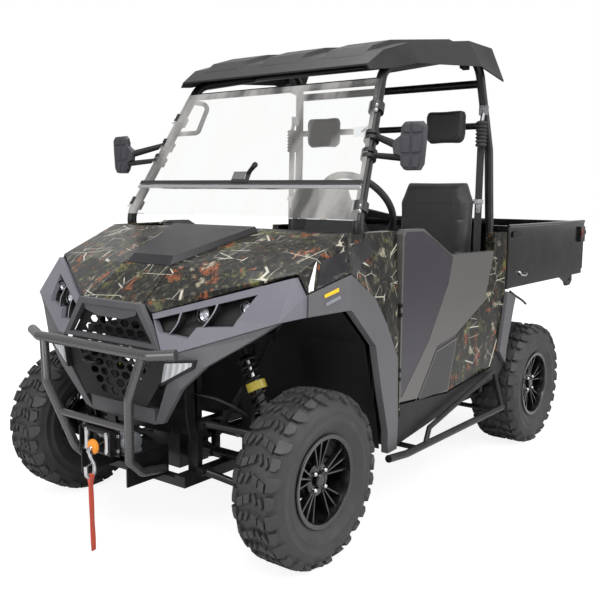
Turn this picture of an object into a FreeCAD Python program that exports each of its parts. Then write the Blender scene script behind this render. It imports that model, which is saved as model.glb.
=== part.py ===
"""Side by side utility vehicle, two seats, with a tipping cargo bed.

Millimetres. +X points forward, +Y to the vehicle's left, +Z up, and the ground is Z = 0.
"""
import FreeCAD, Part
import math
import os
from FreeCAD import Vector

# Wheels and track
WHEELBASE = 1900.0
FRONT_AXLE_X = 1110.0
REAR_AXLE_X = FRONT_AXLE_X - WHEELBASE
TYRE_RADIUS = 317.5
FRONT_TYRE_WIDTH = 203.0
REAR_TYRE_WIDTH = 254.0
HALF_TRACK_OUTER = 740.0
FRONT_WHEEL_Y = HALF_TRACK_OUTER - FRONT_TYRE_WIDTH / 2
REAR_WHEEL_Y = HALF_TRACK_OUTER - REAR_TYRE_WIDTH / 2
BEAD_RADIUS = 152.0
RIM_LIP_RADIUS = 170.0
RIM_WALL = 4.0
BEAD_TO_SIDEWALL = 24.0
TREAD_PITCHES = 15
TREAD_DEPTH = 14.0
SHOULDER_WIDTH = 45.0
SHOULDER_DROP = 1.0
SIDEWALL_RIB_RADIUS = 262.0
SIDEWALL_FOOT_RADIUS = 246.0
BEAD_SLOPE_WIDTH = 6.0
LUG_SHARE = 0.55
LUG_SLOPE = 0.06
RING_FLATS = 20
SPOKE_GROUPS = 5
BLADE_LEANS = (-17.0, 0.0, 17.0)
HUB_CAP_RADIUS = 26.0

# Running gaps
FIT = 0.3
BORE_CLEARANCE = 0.05

# Steering and suspension
KINGPIN_Y = HALF_TRACK_OUTER - 180.0
BALL_SPACING = 200.0
ARM_BARREL_RADIUS = 18.0
ARM_PIVOT_SPREAD = 300.0
ARM_TUBE_RADIUS = 14.0
ARM_LOWER_PIVOT_Z = 300.0
ARM_UPPER_PIVOT_Z = 480.0
STUD_RADIUS = 8.0
SPINDLE_RADIUS = 16.0
SHAFT_RADIUS = 13.0
SHOCK_FOOT_Y = KINGPIN_Y - 90.0
SHOCK_TOP_Y = SHOCK_FOOT_Y - 140.0
SHOCK_TOP_Z = 760.0
SPRING_RADIUS = 34.0
STEER_ARM = 120.0
STEER_EYE_Y = KINGPIN_Y - 45.0
RACK_X = FRONT_AXLE_X - STEER_ARM
RACK_Z = 362.0

# Frame
RAIL_Y = 230.0
RAIL_WIDTH = 50.0
RAIL_BOTTOM = 250.0
RAIL_TOP = 292.0
CROSSMEMBER = 30.0
OUTRIGGER_TOP = RAIL_TOP + 30.0
FRAME_FRONT_X = 1340.0
FRAME_REAR_X = -1330.0
WINCH_PLATE_Z = 390.0
BED_RAIL_TOP = 785.0
BED_HINGE_X = -1500.0
BED_HINGE_Z = 812.0

ARM_PIVOT_Y = RAIL_Y + RAIL_WIDTH / 2 + ARM_BARREL_RADIUS + FIT

# Cab
FLOOR_Z = OUTRIGGER_TOP + FIT
WALL = 6.0
CAB_HALF_WIDTH = 600.0
FIREWALL_X = 655.0
CAB_REAR_X = -386.0
SEAT_BASE_TOP = 722.0
SEAT_BASE_FRONT_X = 130.0
SEAT_Y = 365.0
SEAT_WIDTH = 380.0
SEAT_CUSHION_TOP = 832.0
SEAT_BACK_TOP = 1388.0
BELT_Y = SEAT_Y + SEAT_WIDTH / 2 + 21.0
BELT_WIDTH = 38.0
CAB_REAR_TOP = 1150.0
DASH_BOTTOM = 905.0
DASH_HALF_WIDTH = 558.0

# Roll cage and roof
CAGE_RADIUS = 21.0
CAGE_BEND = 110.0
PANEL = 5.0

CAGE_FOOT_X = 628.0
CAGE_REAR_FOOT_X = -420.0
PANE_LIFT = 3.0
CLAMP_WALL = 10.0
MIRROR_CLAMP_Z = 1533.0
ROOF_RIB_PLACES = (-340.0, 0.0, 340.0)

# Doors
DOOR_OUTER_Y = 690.0
DOOR_THICKNESS = 35.0
DOOR_FRONT_X = 570.0
DOOR_HINGE_HEIGHTS = (600.0, 860.0)
HINGE_RADIUS = 6.0
HINGE_PIN_RADIUS = 3.0
HINGE_HALF = 25.0
HINGE_KNUCKLE_HALF = 9.5
HINGE_LEAF = 4.0
DOOR_CREASE = 4.0
DOOR_SLOT = 6.0

# Hood hinge
HOOD_HINGE_X = 892.0
HOOD_HINGE_Z = 1160.0
HOOD_HINGE_PLACES = (-170.0, 170.0)

# Grille mesh
MESH_TOP_Z = 850.0
MESH_PITCH_Y = 58.0
MESH_PITCH_Z = 32.0
MESH_HOLE_HALF = 25.0
MESH_HOLE_HEIGHT = 15.0

# Cargo bed
BED_FRONT_X = -455.0
BED_REAR_X = -1566.0
BED_HALF_WIDTH = 675.0
BED_FLOOR_Z = 850.0
BED_TOP_Z = 1163.0
BED_WALL = 24.0
BED_RIM_HEIGHT = 16.0
BED_RIM_OUT = 7.0
BED_CHANNEL_BOTTOM = 790.0
GATE_X = -1577.0
GATE_AXIS_X = -1592.0
GATE_AXIS_Z = 862.0
GATE_BARREL = 8.0

# Steering wheel
WHEEL_CENTRE = Vector(410.0, SEAT_Y, 1256.0)
WHEEL_RING_RADIUS = 170.0
WHEEL_RING_TUBE = 15.0
COLUMN_DIRECTION = Vector(0.8, 0.0, -0.6)
COLUMN_RADIUS = 24.0
COLUMN_SHAFT_RADIUS = 10.0

AXIS_Y = Vector(0, 1, 0)


def box(x0, x1, y0, y1, z0, z1):
    """A block between two corners."""
    return Part.makeBox(x1 - x0, y1 - y0, z1 - z0, Vector(x0, y0, z0))


def polygon_face(points):
    """A flat face through the given points."""
    return Part.Face(Part.makePolygon(list(points) + [points[0]]))


def prism_y(outline, y0, y1):
    """A side-view outline of (x, z) pairs, drawn out from y0 to y1."""
    face = polygon_face([Vector(x, y0, z) for x, z in outline])
    return face.extrude(Vector(0, y1 - y0, 0))


def prism_x(outline, x0, x1):
    """A front-view outline of (y, z) pairs, drawn out from x0 to x1."""
    face = polygon_face([Vector(x0, y, z) for y, z in outline])
    return face.extrude(Vector(x1 - x0, 0, 0))


def prism_z(outline, z0, z1):
    """A top-view outline of (x, y) pairs, drawn out from z0 to z1."""
    face = polygon_face([Vector(x, y, z0) for x, y in outline])
    return face.extrude(Vector(0, 0, z1 - z0))


def rod(start, end, radius):
    """A round bar between two points."""
    along = end - start
    return Part.makeCylinder(radius, along.Length, start, along)


def fused(shapes):
    """One solid from touching or crossing shapes."""
    return shapes[0].multiFuse(shapes[1:]).removeSplitter()


def mirrored(shape):
    """The same shape on the other side of the vehicle."""
    return shape.mirror(Vector(0, 0, 0), AXIS_Y)


def pair(shape):
    """A shape and its mirror image."""
    return [shape, mirrored(shape)]


def bent_path(points, bend):
    """Straight runs joined by tangent arcs of one radius."""
    edges = []
    start = points[0]
    for before, corner, after in zip(points, points[1:], points[2:]):
        toward = (before - corner).normalize()
        away = (after - corner).normalize()
        turn = math.pi - toward.getAngle(away)
        cut = bend * math.tan(turn / 2)
        arc_start = corner + toward * cut
        arc_end = corner + away * cut
        inward = (toward + away).normalize()
        centre = corner + inward * (bend / math.cos(turn / 2))
        middle = centre - inward * bend
        edges.append(Part.LineSegment(start, arc_start).toShape())
        edges.append(Part.Arc(arc_start, middle, arc_end).toShape())
        start = arc_end
    edges.append(Part.LineSegment(start, points[-1]).toShape())
    return Part.Wire(edges)


def tube(points, radius, bend):
    """A bent round bar through the given corner points."""
    path = bent_path(points, bend)
    section = Part.Wire([Part.makeCircle(radius, points[0], points[1] - points[0])])
    return path.makePipeShell([section], True, False)


def turned(profile, centre, axis=AXIS_Y):
    """A (radius, along) outline turned a full circle about an axis through centre."""
    outline = [Vector(radius, along, 0) for radius, along in profile]
    solid = polygon_face(outline).revolve(Vector(0, 0, 0), AXIS_Y, 360)
    solid.Placement = FreeCAD.Placement(centre, FreeCAD.Rotation(AXIS_Y, axis))
    return solid


def sheet(points, triangles, shift):
    """A panel of flat triangles, made solid by moving each along one shift."""
    pieces = []
    for names in triangles:
        face = polygon_face([points[name] for name in names])
        pieces.append(face.extrude(shift))
    return fused(pieces)


def loft(sections):
    """A straight-sided solid through closed outlines."""
    wires = [Part.makePolygon(list(points) + [points[0]]) for points in sections]
    return Part.makeLoft(wires, True, True)


def seated(post, skin, gap):
    """A post cut back to lie just short of the skin it holds, on its low side."""
    pieces = post.cut(skin.translated(gap)).Solids
    return min(pieces, key=lambda solid: solid.CenterOfMass.z + solid.CenterOfMass.x)


def save(name, shapes):
    """Write one named piece."""
    solids = [solid for shape in shapes for solid in shape.Solids]
    Part.makeCompound(solids).exportStep("parts/" + name + ".step")


def faceted(sections):
    """A solid with flat sides between closed outlines of one shape and any sizes."""
    faces = [polygon_face(sections[0]), polygon_face(sections[-1])]
    for low, high in zip(sections, sections[1:]):
        for index in range(len(low)):
            after = (index + 1) % len(low)
            faces.append(polygon_face([low[index], low[after], high[after], high[index]]))
    return Part.makeSolid(Part.makeShell(faces))


def tread_section(y, radius, turn):
    """A closed outline across the wheel, with one flat-topped lug and one groove in each pitch."""
    step = 2 * math.pi / TREAD_PITCHES
    reach = LUG_SHARE / 2
    tip = radius / math.cos(reach * step)
    root = tip * (1 - TREAD_DEPTH / TYRE_RADIUS)
    corners = ((-reach, tip), (reach, tip), (reach + LUG_SLOPE, root), (1.0 - reach - LUG_SLOPE, root))
    points = []
    for pitch in range(TREAD_PITCHES):
        for share, length in corners:
            angle = (pitch + share + turn) * step
            points.append(Vector(length * math.sin(angle), y, length * math.cos(angle)))
    return points


def ring_section(y, radius):
    """A closed outline of flats that touch a circle of the given radius from outside."""
    half_step = math.pi / RING_FLATS
    points = []
    for flat in range(RING_FLATS):
        angle = 2 * half_step * flat
        points.append(Vector(math.sin(angle), 0, math.cos(angle)) * (radius / math.cos(half_step)) + Vector(0, y, 0))
    return points


def tyre(centre, width):
    """A knobbly tyre: carcass with a row of lugs on the crown and one on each shoulder."""
    half = width / 2
    bead = half - BEAD_TO_SIDEWALL
    shoulder = half - SHOULDER_WIDTH
    rows = [faceted([tread_section(-shoulder, TYRE_RADIUS, 0.5), tread_section(shoulder, TYRE_RADIUS, 0.5)])]
    for side in (-1, 1):
        rows.append(faceted([
            tread_section(side * shoulder, TYRE_RADIUS - SHOULDER_DROP, 0.0),
            tread_section(side * (half - 8), TYRE_RADIUS - 27, 0.0),
            tread_section(side * half, SIDEWALL_RIB_RADIUS, 0.0),
        ]))
    seat = bead - BEAD_SLOPE_WIDTH
    bore = BEAD_RADIUS + FIT
    hollow = faceted([
        ring_section(-half - 1, SIDEWALL_FOOT_RADIUS), ring_section(-half, SIDEWALL_FOOT_RADIUS),
        ring_section(-seat, bore), ring_section(seat, bore), ring_section(half, SIDEWALL_FOOT_RADIUS),
        ring_section(half + 1, SIDEWALL_FOOT_RADIUS),
    ])
    solid = rows[0].multiFuse(rows[1:]).cut(hollow)
    solid.translate(centre)
    return solid


def spoke_blade(angle, lean, reach, face_at, side):
    """One slim blade from the hub to the barrel, fanned out from the middle of its group."""
    near = math.radians(angle + 0.45 * lean)
    far = math.radians(angle + lean)
    across = Vector(math.cos(far), 0, -math.sin(far))
    sections = []
    for turn, radius, half, deep, high in ((near, 44, 5, 30, 6), (far, reach, 7.5, 16, -6)):
        middle = Vector(radius * math.sin(turn), 0, radius * math.cos(turn))
        low = Vector(0, face_at - side * deep, 0)
        top = Vector(0, face_at - side * high, 0)
        sections.append([middle - across * half + low, middle + across * half + low,
                         middle + across * half + top, middle - across * half + top])
    return loft(sections)


def rim(centre, width, side):
    """A dished wheel: barrel, bladed spokes, capped hub and brake disc. Side is +1 on the left."""
    half = width / 2
    bead = half - BEAD_TO_SIDEWALL
    lip = bead + 8
    inner = BEAD_RADIUS - RIM_WALL
    axle = Vector(0, 0, 0)
    barrel = turned([
        (BEAD_RADIUS, -bead), (RIM_LIP_RADIUS, -bead - FIT), (RIM_LIP_RADIUS, -lip),
        (inner, -lip), (inner, lip), (RIM_LIP_RADIUS, lip), (RIM_LIP_RADIUS, bead + FIT),
        (BEAD_RADIUS, bead),
    ], axle)
    face_at = side * (bead - 20)
    blades = []
    for group in range(SPOKE_GROUPS):
        for lean in BLADE_LEANS:
            blades.append(spoke_blade(360 / SPOKE_GROUPS * group, lean, inner + 2, face_at, side))
    hub_inner = side * (KINGPIN_Y + 48) - centre.y
    hub = turned([
        (0, hub_inner), (45, hub_inner), (45, face_at - side * 34), (62, face_at - side * 30),
        (60, face_at - side * 12), (50, face_at - side * 8), (0, face_at - side * 8),
    ], axle)
    cap = prism_y([(HUB_CAP_RADIUS * math.cos(math.radians(22.5 + 45 * corner)),
                    HUB_CAP_RADIUS * math.sin(math.radians(22.5 + 45 * corner))) for corner in range(8)],
                  face_at - side * 9, face_at + side * 4)
    brake = turned([(0, hub_inner), (88, hub_inner), (88, hub_inner + side * 5), (0, hub_inner + side * 5)], axle)
    wheel = fused([barrel, hub, cap, brake] + blades)
    bore = Part.makeCylinder(SPINDLE_RADIUS + BORE_CLEARANCE, 41, Vector(0, hub_inner - side, 0),
                             Vector(0, side, 0))
    wheel = wheel.cut(bore)
    wheel.translate(centre)
    return wheel


def upright(axle_x, arm):
    """The left knuckle: hub carrier, ball lugs, spindle and an optional steering arm."""
    axle = Vector(axle_x, KINGPIN_Y, TYRE_RADIUS)
    half = BALL_SPACING / 2
    body = Part.makeCylinder(52, 60, axle - Vector(0, 20, 0), AXIS_Y)
    lug = half - 6
    lugs = box(axle.x - 22, axle.x + 22, axle.y - 18, axle.y + 22, axle.z - lug, axle.z + lug)
    spindle = Part.makeCylinder(SPINDLE_RADIUS, 86, axle, AXIS_Y)
    pieces = [body, lugs, spindle]
    if arm:
        pieces.append(prism_z([
            (axle.x - 20, axle.y + 15), (axle.x - 20, axle.y - 18), (RACK_X - 12, STEER_EYE_Y - 14),
            (RACK_X - 12, STEER_EYE_Y + 10), (RACK_X + 10, STEER_EYE_Y + 16),
        ], axle.z + 2, axle.z + 14))
    solid = fused(pieces)
    socket = Part.makeSphere(36, axle).fuse(Part.makeCylinder(36, 30, axle - Vector(0, 30, 0), AXIS_Y))
    stud_hole = Part.makeCylinder(STUD_RADIUS + BORE_CLEARANCE, 2 * half + 2, axle - Vector(0, 0, half + 1))
    return solid.cut(socket.fuse(stud_hole))


def wishbone(axle_x, inner_z, outer_z, stud_down):
    """The left arm of one level, from its two frame pivots to its ball stud."""
    outer = Vector(axle_x, KINGPIN_Y, outer_z)
    drop = 0 if stud_down else 8
    pieces = []
    for side in (-1, 1):
        pivot = Vector(axle_x + side * ARM_PIVOT_SPREAD / 2, ARM_PIVOT_Y, inner_z)
        pieces.append(rod(pivot, outer - Vector(0, 0, drop), ARM_TUBE_RADIUS))
        pieces.append(Part.makeCylinder(ARM_BARREL_RADIUS, 50, pivot - Vector(25, 0, 0), Vector(1, 0, 0)))
    pieces.append(Part.makeCylinder(19, 28, outer - Vector(0, 0, 14)))
    if stud_down:
        pieces.append(Part.makeCylinder(STUD_RADIUS, 45, outer - Vector(0, 0, 45)))
    else:
        pieces.append(Part.makeCylinder(STUD_RADIUS, 45, outer))
    return pieces


def suspension_arms():
    """Upper and lower arms at all four corners, with the shock feet on the upper ones."""
    arms = []
    for axle_x in (FRONT_AXLE_X, REAR_AXLE_X):
        half = BALL_SPACING / 2
        lower_z = TYRE_RADIUS - half - 14.5
        upper_z = TYRE_RADIUS + half + 14.5
        lower = fused(wishbone(axle_x, ARM_LOWER_PIVOT_Z, lower_z, False))
        foot_z = shock_foot_z()
        foot = box(axle_x - 75, axle_x + 75, SHOCK_FOOT_Y - 12, SHOCK_FOOT_Y + 12, foot_z - 14, foot_z - 2)
        ear = box(axle_x - 20, axle_x + 20, SHOCK_FOOT_Y - 12, SHOCK_FOOT_Y + 12, foot_z - 6, foot_z + 10)
        upper = fused(wishbone(axle_x, ARM_UPPER_PIVOT_Z, upper_z, True) + [foot.common(
            prism_z([(axle_x, KINGPIN_Y + 30), (axle_x - 165, ARM_PIVOT_Y), (axle_x + 165, ARM_PIVOT_Y)],
                    foot_z - 20, foot_z)), ear])
        for arm in (lower, upper):
            arms += pair(arm)
    return arms


def shock_foot_z():
    """Height of the upper arm where the shock stands on it."""
    upper_z = TYRE_RADIUS + BALL_SPACING / 2 + 14.5
    share = (KINGPIN_Y - SHOCK_FOOT_Y) / (KINGPIN_Y - ARM_PIVOT_Y)
    return upper_z + share * (ARM_UPPER_PIVOT_Z - upper_z) + 14


def shock_absorbers():
    """Coil-over shocks from the upper arms to the towers."""
    shocks = []
    for axle_x in (FRONT_AXLE_X, REAR_AXLE_X):
        foot = Vector(axle_x, SHOCK_FOOT_Y, shock_foot_z() + 10 + FIT)
        head = Vector(axle_x, SHOCK_TOP_Y, SHOCK_TOP_Z - 8)
        along = (head - foot).normalize()
        length = (head - foot).Length
        base = foot + along * 14
        body = rod(base, foot + along * (length - 40), 14)
        spring = rod(foot + along * 50, foot + along * (length - 60), SPRING_RADIUS)
        collar = rod(foot + along * 40, foot + along * 50, SPRING_RADIUS + 4)
        cap = rod(foot + along * (length - 60), foot + along * (length - 40), SPRING_RADIUS + 4)
        eye = box(foot.x - 14, foot.x + 14, foot.y - 10, foot.y + 10, foot.z, foot.z + 22)
        top_eye = rod(foot + along * (length - 41), head, 14)
        shocks += pair(fused([body, spring, collar, cap, eye, top_eye]))
    return shocks


def drive_shafts():
    """Front differential, propeller shaft and four half shafts."""
    axle = Vector(FRONT_AXLE_X, 0, TYRE_RADIUS)
    differential = fused([
        box(axle.x - 80, axle.x + 80, -75, 75, axle.z - 70, axle.z + 70),
        Part.makeCylinder(45, 220, axle - Vector(0, 110, 0), AXIS_Y),
        box(RACK_X + 20 + FIT, axle.x - 79, -40, 40, RAIL_BOTTOM + 5, RAIL_BOTTOM + CROSSMEMBER - 5),
    ])
    prop = rod(Vector(-118, 0, axle.z), Vector(axle.x - 80 - FIT, 0, axle.z), 18)
    solids = [differential, prop]
    for axle_x in (FRONT_AXLE_X, REAR_AXLE_X):
        inner = Vector(axle_x, 110 + FIT, TYRE_RADIUS)
        ball = Vector(axle_x, KINGPIN_Y, TYRE_RADIUS)
        shaft = fused([
            rod(inner, ball, SHAFT_RADIUS),
            Part.makeCone(40, 20, 70, inner, AXIS_Y),
            Part.makeSphere(34, ball),
        ])
        solids += pair(shaft)
    return solids


def steering_rack():
    """Rack bar with its tie rods, which slides sideways."""
    eye = Vector(RACK_X, STEER_EYE_Y, TYRE_RADIUS - 12)
    joint = Vector(RACK_X, 200, RACK_Z)
    bar = rod(Vector(RACK_X, -200, RACK_Z), joint, 12)
    pieces = [bar]
    for end, start in ((eye, joint), (Vector(eye.x, -eye.y, eye.z), Vector(joint.x, -joint.y, joint.z))):
        pieces.append(Part.makeSphere(13, start))
        pieces.append(rod(start, end, 8))
        pieces.append(Part.makeCylinder(14, 14, end - Vector(0, 0, 7)))
    return [fused(pieces)]


def steering_gear():
    """Rack housing and steering column."""
    housing = Part.makeCylinder(24, 200, Vector(RACK_X, -100, RACK_Z), AXIS_Y)
    bore = Part.makeCylinder(12 + BORE_CLEARANCE, 210, Vector(RACK_X, -105, RACK_Z), AXIS_Y)
    posts = pair(box(RACK_X - 14, RACK_X + 14, 66, 90, RAIL_BOTTOM + CROSSMEMBER + FIT, RACK_Z - 16))
    housing = fused([housing] + posts).cut(bore)
    top = WHEEL_CENTRE + COLUMN_DIRECTION * 60
    end = WHEEL_CENTRE + COLUMN_DIRECTION * 392
    column = rod(top, end, COLUMN_RADIUS)
    shaft_bore = rod(top - COLUMN_DIRECTION, top + COLUMN_DIRECTION * 101, COLUMN_SHAFT_RADIUS + BORE_CLEARANCE)
    lower = rod(end - COLUMN_DIRECTION * 2, Vector(RACK_X - 30, 90, RACK_Z + 10), 11)
    return [housing, fused([column.cut(shaft_bore), lower])]


def steering_wheel():
    """Three-spoke wheel on its shaft."""
    axis = COLUMN_DIRECTION
    up = Vector(0.6, 0, 0.8)
    side = AXIS_Y
    ring = Part.makeTorus(WHEEL_RING_RADIUS, WHEEL_RING_TUBE, WHEEL_CENTRE, axis)
    hub = rod(WHEEL_CENTRE + axis * -8, WHEEL_CENTRE + axis * 40, 38)
    shaft = rod(WHEEL_CENTRE + axis * 20, WHEEL_CENTRE + axis * 150, COLUMN_SHAFT_RADIUS)
    spokes = []
    for angle in (-15, 195, 270):
        turn = math.radians(angle)
        direction = side * math.cos(turn) + up * math.sin(turn)
        spokes.append(rod(WHEEL_CENTRE + axis * 8, WHEEL_CENTRE + direction * WHEEL_RING_RADIUS, 11))
    return [fused([ring, hub, shaft] + spokes)]


def chassis_frame():
    """Ladder frame with outriggers under the cab and the winch plate at its nose."""
    half = RAIL_WIDTH / 2
    pieces = []
    for y in (-RAIL_Y, RAIL_Y):
        pieces.append(box(FRAME_REAR_X, FRAME_FRONT_X, y - half, y + half, RAIL_BOTTOM, RAIL_TOP))
    for x in (FRAME_FRONT_X - 20, RACK_X, 700, 120, -660, -1000, FRAME_REAR_X + 30):
        pieces.append(box(x - 20, x + 20, -RAIL_Y, RAIL_Y, RAIL_BOTTOM, RAIL_BOTTOM + CROSSMEMBER))
    for x in (CAGE_FOOT_X, 20, CAGE_REAR_FOOT_X):
        for side in (-1, 1):
            y0, y1 = sorted((side * (RAIL_Y - half), side * (CAB_HALF_WIDTH - 4)))
            pieces.append(box(x - 15, x + 15, y0, y1, RAIL_TOP - 1, OUTRIGGER_TOP))
    pieces.append(box(FRAME_FRONT_X - 10, 1500, -140, 140, WINCH_PLATE_Z - 6, WINCH_PLATE_Z))
    for y in (-130, 124):
        pieces.append(box(FRAME_FRONT_X - 40, 1500, y, y + 6, RAIL_BOTTOM + CROSSMEMBER - 10, WINCH_PLATE_Z - 5))
    return [fused(pieces)]


def shock_tower(axle_x):
    """Four uprights on the rails, with the plate that the shocks hang from."""
    half = RAIL_WIDTH / 2
    pieces = []
    for side in (-1, 1):
        pivot_x = axle_x + side * ARM_PIVOT_SPREAD / 2
        for y in (-RAIL_Y, RAIL_Y):
            pieces.append(box(pivot_x - 12, pivot_x + 12, y - half, y + half, RAIL_TOP + FIT, SHOCK_TOP_Z + 20))
    plate = box(axle_x - 168, axle_x + 168, -SHOCK_TOP_Y - 25, SHOCK_TOP_Y + 25, SHOCK_TOP_Z + FIT, SHOCK_TOP_Z + 25)
    cut_out = box(axle_x - 130, axle_x + 130, -180, 180, SHOCK_TOP_Z, SHOCK_TOP_Z + 30)
    return pieces + [plate.cut(cut_out)]


def shock_towers():
    """Front tower with the fender posts, and rear tower with the bed's supports and hinge ears."""
    half = RAIL_WIDTH / 2
    front = shock_tower(FRONT_AXLE_X)
    fender = front_fenders()[0]
    for x in (960, 1235):
        post = box(x - 10, x + 10, 310, 335, SHOCK_TOP_Z + 1, 1200)
        front += pair(seated(post, fender, Vector(0, 0, -FIT)))
    rear = shock_tower(REAR_AXLE_X)
    for y in (-RAIL_Y, RAIL_Y):
        rear.append(box(-1320, -1280, y - half, y + half, RAIL_TOP + FIT, BED_RAIL_TOP))
        rear.append(box(BED_HINGE_X + 20, -610, y - half, y + half, BED_RAIL_TOP - 40, BED_RAIL_TOP))
        for ear_y in (y - half - 9, y + half + 1):
            rear.append(prism_y([
                (BED_HINGE_X - 16, BED_HINGE_Z + 16), (BED_HINGE_X + 16, BED_HINGE_Z + 16),
                (BED_HINGE_X + 60, BED_RAIL_TOP - 10), (BED_HINGE_X + 60, BED_RAIL_TOP - 40),
                (BED_HINGE_X + 18, BED_RAIL_TOP - 40), (BED_HINGE_X - 16, BED_HINGE_Z - 16),
            ], ear_y, ear_y + 8))
            rear.append(box(BED_HINGE_X + 22, BED_HINGE_X + 60, ear_y - 1, ear_y + 9, BED_RAIL_TOP - 40,
                            BED_RAIL_TOP - 10))
        rear.append(Part.makeCylinder(8, 2 * half + 18, Vector(BED_HINGE_X, y - half - 9, BED_HINGE_Z), AXIS_Y))
    return [fused(front), fused(rear)]


def floor_tub():
    """Floor pan, firewall, seat base and rear cab wall of the open cab."""
    w = CAB_HALF_WIDTH
    z = FLOOR_Z
    floor = prism_x([
        (-w, z), (-56, z), (-50, z + 30), (50, z + 30), (56, z), (w, z),
        (w, z + WALL), (60, z + WALL), (54, z + 30 + WALL), (-54, z + 30 + WALL), (-60, z + WALL), (-w, z + WALL),
    ], CAB_REAR_X, FIREWALL_X + WALL)
    firewall = box(FIREWALL_X, FIREWALL_X + WALL, -w, w, FLOOR_Z, DASH_BOTTOM - FIT)
    tunnel = box(SEAT_BASE_FRONT_X - 20, FIREWALL_X + 20, -50, 50, FLOOR_Z - 1, FLOOR_Z + 30)
    riser = box(SEAT_BASE_FRONT_X - WALL, SEAT_BASE_FRONT_X, -w, w, FLOOR_Z, SEAT_BASE_TOP)
    seat_deck = box(CAB_REAR_X, SEAT_BASE_FRONT_X, -w, w, SEAT_BASE_TOP - WALL, SEAT_BASE_TOP)
    rear_wall = box(CAB_REAR_X, CAB_REAR_X + WALL, -w + 60, w - 60, SEAT_BASE_TOP - WALL, CAB_REAR_TOP)
    tub = fused([floor, firewall, riser, seat_deck, rear_wall])
    engine_bay = box(CAB_REAR_X - 10, -100, -205, 205, FLOOR_Z - 1, FLOOR_Z + 60)
    return [tub.cut(tunnel).cut(engine_bay)]


def engine_block():
    """Engine and gearbox as one block, with the rear final drive behind it."""
    engine = box(-600, -120, -190, 190, RAIL_BOTTOM + CROSSMEMBER + FIT, 700)
    bridge = box(REAR_AXLE_X - 80, -590, -75, 75, RAIL_BOTTOM + CROSSMEMBER + FIT, TYRE_RADIUS + 80)
    drive = Part.makeCylinder(50, 220, Vector(REAR_AXLE_X, -110, TYRE_RADIUS), AXIS_Y)
    return [fused([engine, bridge, drive])]


def exhaust():
    """Silencer across the back of the engine, with its tail pipe."""
    silencer = rod(Vector(-1080, -150, 560), Vector(-1080, 150, 560), 70)
    tail = tube([Vector(-1080, 110, 560), Vector(-1240, 110, 560), Vector(-1330, 110, 520)], 22, 60)
    return [fused([silencer, tail, rod(Vector(-600 - FIT, -60, 560), Vector(-1060, -60, 560), 22)])]


def cage_side_points():
    """Corner points of the left side hoop, from its front foot to its rear foot."""
    return [
        Vector(CAGE_FOOT_X, 584, FLOOR_Z + WALL + FIT), Vector(CAGE_FOOT_X, 584, 938), Vector(822, 638, 1175),
        Vector(463, 515, 1816), Vector(-352, 535, 1982), Vector(-412, 582, 1530), Vector(-419, 598, 1130),
        Vector(CAGE_REAR_FOOT_X, 572, OUTRIGGER_TOP + 1),
    ]


def pillar_at(z):
    """A point of the left front pillar's centre line."""
    low, high = cage_side_points()[2:4]
    share = (z - low.z) / (high.z - low.z)
    return low + (high - low) * share


def roll_cage():
    """Bent side hoops, crossbars, headrest bar and the passenger's grab handle."""
    hoop = tube(cage_side_points(), CAGE_RADIUS, CAGE_BEND)
    pieces = pair(hoop)
    front = pillar_at(1763)
    bars = [
        (front, 16), (Vector(60, 522, 1898), 16), (Vector(-372, 551, 1842), 19),
        (Vector(-401, 574, 1646), 16), (Vector(-416, 591, 1180), 19),
    ]
    for end, radius in bars:
        pieces.append(rod(Vector(end.x, -end.y, end.z), end, radius))
    high = pillar_at(1740)
    low = pillar_at(1585)
    handle = tube([
        Vector(high.x, -high.y, high.z), Vector(high.x - 60, -high.y + 60, high.z - 10),
        Vector(low.x - 90, -low.y + 70, low.z + 10), Vector(low.x, -low.y, low.z),
    ], 11, 25)
    pieces.append(handle)
    for z in DOOR_HINGE_HEIGHTS:
        pieces += pair(door_hinge_leaf(z))
    return [fused(pieces)]


def door_hinge_leaf(z):
    """Cage side of a left door hinge: a leaf from the pillar with two bored knuckles."""
    x = DOOR_FRONT_X
    y = DOOR_OUTER_Y
    back = x + 2 + HINGE_LEAF
    leaf = prism_z([
        (CAGE_FOOT_X - 6, 590), (x + 2, 652), (x + 2, y), (back, y), (back, 656), (CAGE_FOOT_X, 596),
    ], z - HINGE_HALF, z + HINGE_HALF)
    middle = Part.makeCylinder(HINGE_RADIUS + 1, 2 * (HINGE_KNUCKLE_HALF + FIT),
                               Vector(x, y, z - HINGE_KNUCKLE_HALF - FIT))
    bore = Part.makeCylinder(HINGE_PIN_RADIUS + BORE_CLEARANCE, 2 * HINGE_HALF + 2, Vector(x, y, z - HINGE_HALF - 1))
    knuckles = Part.makeCylinder(HINGE_RADIUS, 2 * HINGE_HALF, Vector(x, y, z - HINGE_HALF))
    return leaf.fuse(knuckles).cut(middle).cut(bore)


def roof_section(x, edge_z, edge_y, top_z, top_y):
    """One cross outline of the roof shell, edges turned down."""
    return [
        Vector(x, -edge_y, edge_z), Vector(x, -top_y, top_z),
        Vector(x, top_y, top_z), Vector(x, edge_y, edge_z),
    ]


def roof_rib_section(y, x, low_z, top_z, half_width):
    """One cross outline of a raised rib on the roof."""
    return [Vector(x, y - half_width, low_z), Vector(x, y - half_width + 18, top_z),
            Vector(x, y + half_width - 18, top_z), Vector(x, y + half_width, low_z)]


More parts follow.
